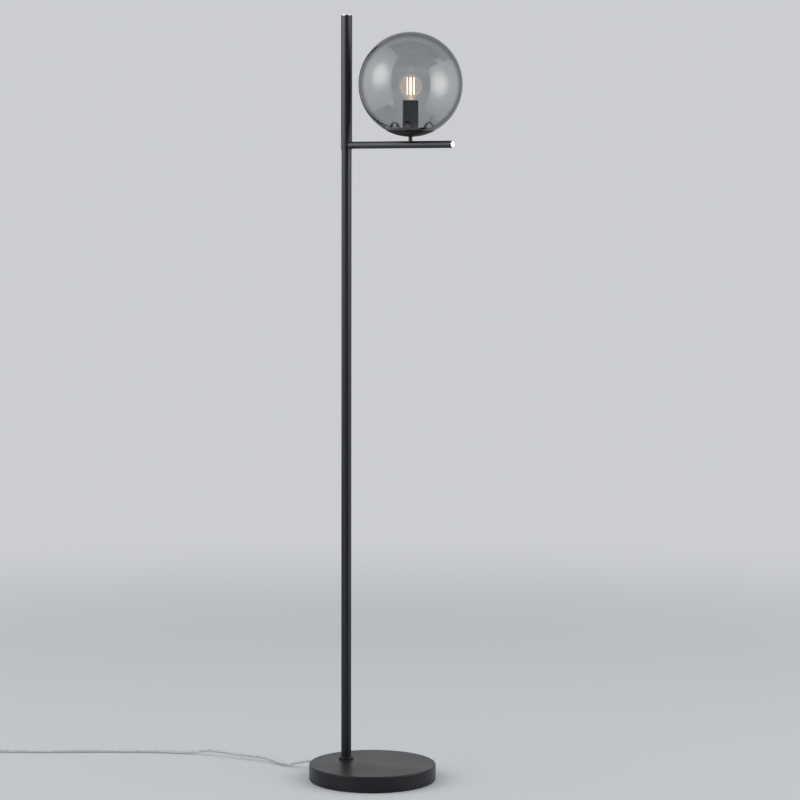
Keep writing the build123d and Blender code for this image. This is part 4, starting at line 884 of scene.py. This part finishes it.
def glow_material(name):
    """A material that only glows, with its tree, its glow and its output."""
    made = bpy.data.materials.new(name)
    made.use_nodes = True
    tree = made.node_tree
    tree.nodes.clear()
    glow = tree.nodes.new("ShaderNodeEmission")
    output = tree.nodes.new("ShaderNodeOutputMaterial")
    tree.links.new(glow.outputs["Emission"], output.inputs["Surface"])
    return made, tree, glow, output


def card(name, corners, material):
    """Stage a flat card that only reflections show."""
    mesh = mesh_of(name, corners, [(0, 1, 2, 3)])
    mesh.materials.append(material)
    made = linked(name, mesh)
    made.visible_camera = False
    made.visible_diffuse = False
    made.visible_transmission = False
    made.visible_shadow = False
    return made


WIDE_GLOW = 2.6                 # the wide glow's radius, in radii of the core


def front_card(name, turn, distance, reach, low, high, core_at, core_r, core, wide, rest):
    """A softbox's diffuser as glossy surfaces see it: a bright core in a wide, fading glow.

    turn and distance are as for level_place, and low and high are heights above the floor.
    reach is how far it goes (towards, away from) the camera, and core_at the core's place
    (away from the camera, above the globe's middle), all from the point beside the globe.
    core, wide and rest are the radiances of the core, of the glow and of the card beyond it.
    """
    made, tree, glow, _ = glow_material(name)
    away_side = math.copysign(1.0, turn)
    away = distance_from(tree, (away_side * core_at[0], core_at[1], 0.0))
    both = tree.nodes.new("ShaderNodeMath")
    inner = spread(tree, away, core, 0.0, (0.0, core_r), "SMOOTHERSTEP")
    outer = spread(tree, away, wide, rest, (0.0, WIDE_GLOW * core_r), "SMOOTHERSTEP")
    tree.links.new(inner, both.inputs[0])
    tree.links.new(outer, both.inputs[1])
    tree.links.new(both.outputs["Value"], glow.inputs["Strength"])
    near, far = -away_side * reach[0], away_side * reach[1]
    below, above = low - GLOBE_MID_Z, high - GLOBE_MID_Z
    front = card(name, [(near, below, 0), (far, below, 0), (far, above, 0), (near, above, 0)], made)
    front.location, facing = level_place(turn, distance, GLOBE_MID_Z)
    front.rotation_mode = "QUATERNION"
    front.rotation_quaternion = facing.to_track_quat("Z", "Y")


def room_point(across, near, height):
    """A point by its distances right of the globe's axis, towards the camera and up."""
    to_camera = Vector((-CAMERA_AIM.x, -CAMERA_AIM.y, 0.0)).normalized()
    return GLOBE_AXIS + UP.cross(to_camera) * across + to_camera * near + UP * height


def level_corners(left, right, back, front, height):
    """The corners, as for room_point, of a level rectangle."""
    return [(left, back, height), (right, back, height), (right, front, height), (left, front, height)]


def dim_card(name, corners, radiance, fades=None):
    """A dim side of the room as glossy surfaces see it, its corners as for room_point.

    fades is a place and a radius: the card is whole at the place and gone past the radius.
    """
    made, tree, glow, output = glow_material(name)
    glow.inputs["Strength"].default_value = radiance
    if fades:
        away = distance_from(tree, room_point(*fades[0]))
        whole = spread(tree, away, 1.0, 0.0, (0.0, fades[1]), "SMOOTHERSTEP")
        surface = mixed(tree, whole, transparent(tree), glow.outputs["Emission"])
        tree.links.new(surface, output.inputs["Surface"])
    card(name, [room_point(*corner) for corner in corners], made)


SIDE_TURN = 80.0                # degrees from the camera round to the softboxes, on either hand
ROOM_TOP = 3.12                 # height of the dim ceiling
SHADE_H = 0.61                  # height of the dim patch low on the left

make_world()
make_floor()
for name, turn in (("soft_left", SIDE_TURN), ("soft_right", -SIDE_TURN)):
    softbox(name, turn, distance=3.4, height=2.6, width=3.6, tall=3.0, radiance=1.8, aim_height=0.7)
front_card("card_left", SIDE_TURN, distance=0.9, reach=(0.70, 1.4), low=0.62, high=3.10,
           core_at=(-0.19, 0.28), core_r=0.62, core=6.0, wide=3.0, rest=1.1)
front_card("card_right", -SIDE_TURN, distance=0.62, reach=(0.50, 0.9), low=0.42, high=1.81,
           core_at=(-0.22, 0.0), core_r=0.43, core=6.0, wide=3.0, rest=1.1)
for name, turn, half_width in (("strip_left", 54.0, 0.13), ("strip_right", -82.0, 0.22)):
    front_card(name, turn, distance=1.1, reach=(half_width, half_width), low=0.01, high=2.40,
               core_at=(0.0, -1.25), core_r=0.5, core=0.0, wide=3.6, rest=1.8)
dim_card("dim_ceiling", level_corners(-3.0, 3.0, -0.4, 2.4, ROOM_TOP), radiance=0.04)
dim_card("dim_front", [(-6.0, 4.0, 0.0), (6.0, 4.0, 0.0), (6.0, 4.0, ROOM_TOP), (-6.0, 4.0, ROOM_TOP)],
         radiance=0.10)
dim_card("dim_low_left", level_corners(-1.05, -0.15, -0.12, 0.72, SHADE_H), radiance=0.04,
         fades=((-0.60, 0.30, SHADE_H), 0.45))
soft_top = area_lamp("soft_top", width=1.1, depth=1.1, radiance=1.2)
soft_top.location = (0.2, 0.2, 3.0)
